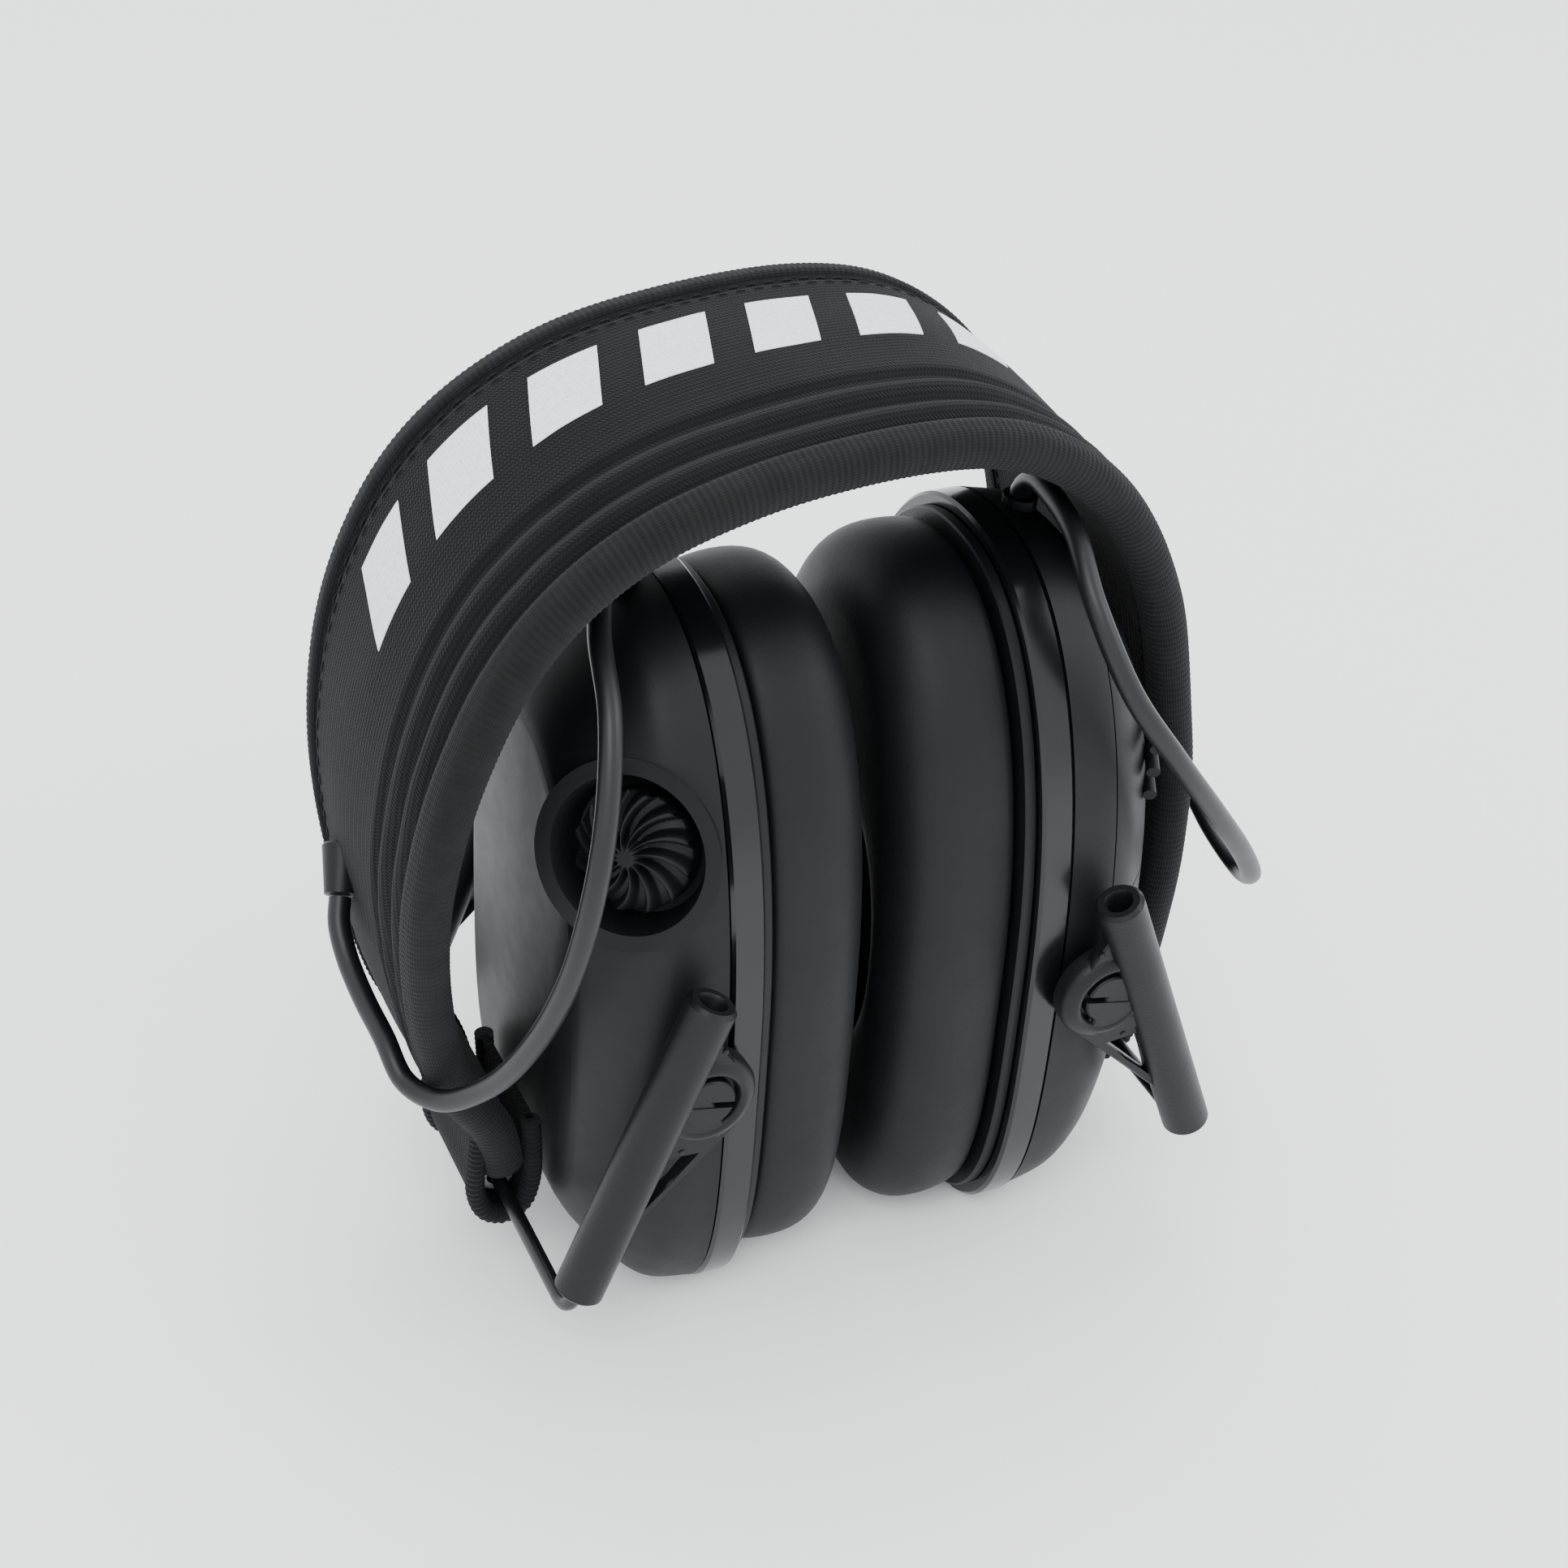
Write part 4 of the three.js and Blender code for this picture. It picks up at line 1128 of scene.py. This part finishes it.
def add_knob():
    """A domed knob with curved fins that fan out from its hub."""
    side = "left"
    axis = place_direction(side, KNOB_AXIS)
    first, second = frame_of(axis)
    directions = []
    for k in range(KNOB_AROUND):
        angle = 2 * math.pi * k / KNOB_AROUND
        directions.append((angle, first * math.cos(angle) + second * math.sin(angle)))
    shares = steps(0, 1, 26)
    vertices = []
    for share in shares:
        radius = KNOB_HUB + (KNOB_RADIUS - KNOB_HUB) * share
        for angle, direction in directions:
            twist = angle + 0.6 * share ** 1.3
            fin = max(0.0, 0.25 + 0.75 * math.cos(KNOB_FINS * twist)) ** 0.8
            dome = 0.6 - 2.8 * share ** 2.2
            height = dome - 2.4 * smoothstep(0.1, 0.3, share) * (1 - fin) * (1 - 0.2 * share)
            vertices.append(knob_place(side, height) + direction * radius)
    vertices += [knob_place(side, KNOB_BACK) + direction * KNOB_RADIUS for _, direction in directions]
    faces = ring_faces(len(shares) + 1, KNOB_AROUND)
    knob = mesh_object("knob_dial", vertices, faces, sharp=math.radians(60))
    piece(knob, "knob", "shell_plastic", "volume_knob")


def add_ring(side):
    low, high = RING_U
    sections = [
        (low, cup_outline(0.5, 0.5)), (low + 0.5, cup_outline(0, 0)), (high - 0.5, cup_outline(0, 0)),
        (high, cup_outline(0.5, 0.5)), (high, cup_outline(4.5, 4.5)), (low, cup_outline(4.5, 4.5)),
    ]
    ring = cup_ring(f"ring_{side}", side, sections, CRISP)
    piece(ring, f"cup_{side}", "ring_plastic", f"cup_ring_{side}")


def add_ear_plate(side):
    low, high = EAR_PLATE_U
    opening = ear_outline(*EAR_OPENING)
    sections = [
        (low, cup_outline(2.3, 2.3)), (low + 0.3, cup_outline(2, 2)), (high, cup_outline(2, 2)),
        (high, opening), (low, opening),
    ]
    plate = cup_ring(f"plate_{side}", side, sections, CRISP)
    piece(plate, f"cup_{side}", "nylon", f"ear_plate_{side}")


def add_cushion(side):
    """A crowned ring: its outside, from the plate to the front, then its ear opening, back to the plate."""
    low, high = CUSHION_U
    depth = high - low
    outside = [
        (1.0, 4.4), (0.94, 3.4), (0.8, 2.8), (0.62, 2.5), (0.45, 2.7), (0.32, 3.4),
        (0.2, 4.8), (0.11, 6.9), (0.05, 9.3), (0.015, 12.0), (0.0, 14.5),
    ]
    sections = [(low + depth * share, cup_outline(inset, inset)) for share, inset in outside]
    half_width, half_height = EAR_OPENING
    for share, grow in ((0.0, 2.6), (0.02, 1.6), (0.1, 0.6), (0.3, 0.0), (1.0, 0.0)):
        sections.append((low + depth * share, ear_outline(half_width + grow, half_height + grow)))
    cushion = cup_ring(f"pad_{side}", side, sections, math.radians(80))
    modifier = cushion.modifiers.new("smooth", "SUBSURF")
    modifier.levels = 1
    modifier.render_levels = 1
    with_modifiers_applied(cushion)
    piece(cushion, f"cup_{side}", "cushion_skin", f"cushion_{side}")


def add_cup(side):
    add_ring(side)
    add_ear_plate(side)
    add_cushion(side)


# ---- CAD nodes that stay as they are ----
KEPT = {
    "headband_spring_strip": "spring_steel", "volume_control": "capsule_metal", "battery_tray": "nylon",
    "battery_front": "battery_wrap", "battery_rear": "battery_wrap",
    "battery_contact_lower": "contact_brass", "battery_contact_upper": "contact_brass",
}
KEPT_EACH_SIDE = {
    "hinge_knuckle": "spring_steel", "pivot_bush_front": "nylon", "pivot_bush_rear": "nylon",
    "foam_insert": "foam", "speaker": "speaker_body", "circuit_board": "circuit_board",
    "microphone": "capsule_metal", "cable_grommet": "nylon",
}


def dress_kept_nodes():
    kept = dict(KEPT)
    for side in SIDES:
        kept.update({f"{name}_{side}": slot_name for name, slot_name in KEPT_EACH_SIDE.items()})
    for name, slot_name in kept.items():
        dress(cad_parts[name], slot_name)


# ---- Stage ----
def add_stage():
    material, tree, bsdf = shader("floor")
    tone = ramp(tree, speckle(tree, 3), 0.3, 0.7, ((0.93, 0.93, 0.93), (0.95, 0.95, 0.95)))
    tree.links.new(tone, bsdf.inputs["Base Color"])
    finish(bsdf, roughness=0.9)
    mesh = bpy.data.meshes.new("floor")
    half = 6.0
    corners = [(-half, -half, 0), (half, -half, 0), (half, half, 0), (-half, half, 0)]
    mesh.from_pydata(corners, [], [(0, 1, 2, 3)])
    floor = bpy.data.objects.new("floor", mesh)
    bpy.context.scene.collection.objects.link(floor)
    floor.data.materials.append(material)
    world = bpy.data.worlds.new("world")
    bpy.context.scene.world = world
    world.use_nodes = True
    background = world.node_tree.nodes["Background"]
    background.inputs["Color"].default_value = (0.96, 0.98, 1.0, 1)
    background.inputs["Strength"].default_value = 2.0
    add_light("key", (-0.5, -0.7, 1.1), 0.7, 8.0)
    add_light("fill", (0.9, -0.5, 0.7), 0.6, 4.0)
    add_light("top", (0.1, 0.4, 1.3), 0.9, 7.0)


def add_light(name, place_at, size, power):
    data = bpy.data.lights.new(name, "AREA")
    data.shape = "DISK"
    data.size = size
    data.energy = power
    light = bpy.data.objects.new(name, data)
    light.location = place_at
    aim = CAMERA_TARGET * MM - Vector(place_at)
    light.rotation_euler = aim.to_track_quat("-Z", "Y").to_euler()
    bpy.context.scene.collection.objects.link(light)


# ---- Build ----
add_camera()
for side_name in SIDES:
    add_cable(side_name)
add_headband()
for side_name in SIDES:
    add_yoke(side_name)
    add_clip(side_name, "front")
    add_clip(side_name, "rear")
    add_cup(side_name)
add_left_shell()
add_right_shell()
add_knob()
dress_kept_nodes()
add_stage()
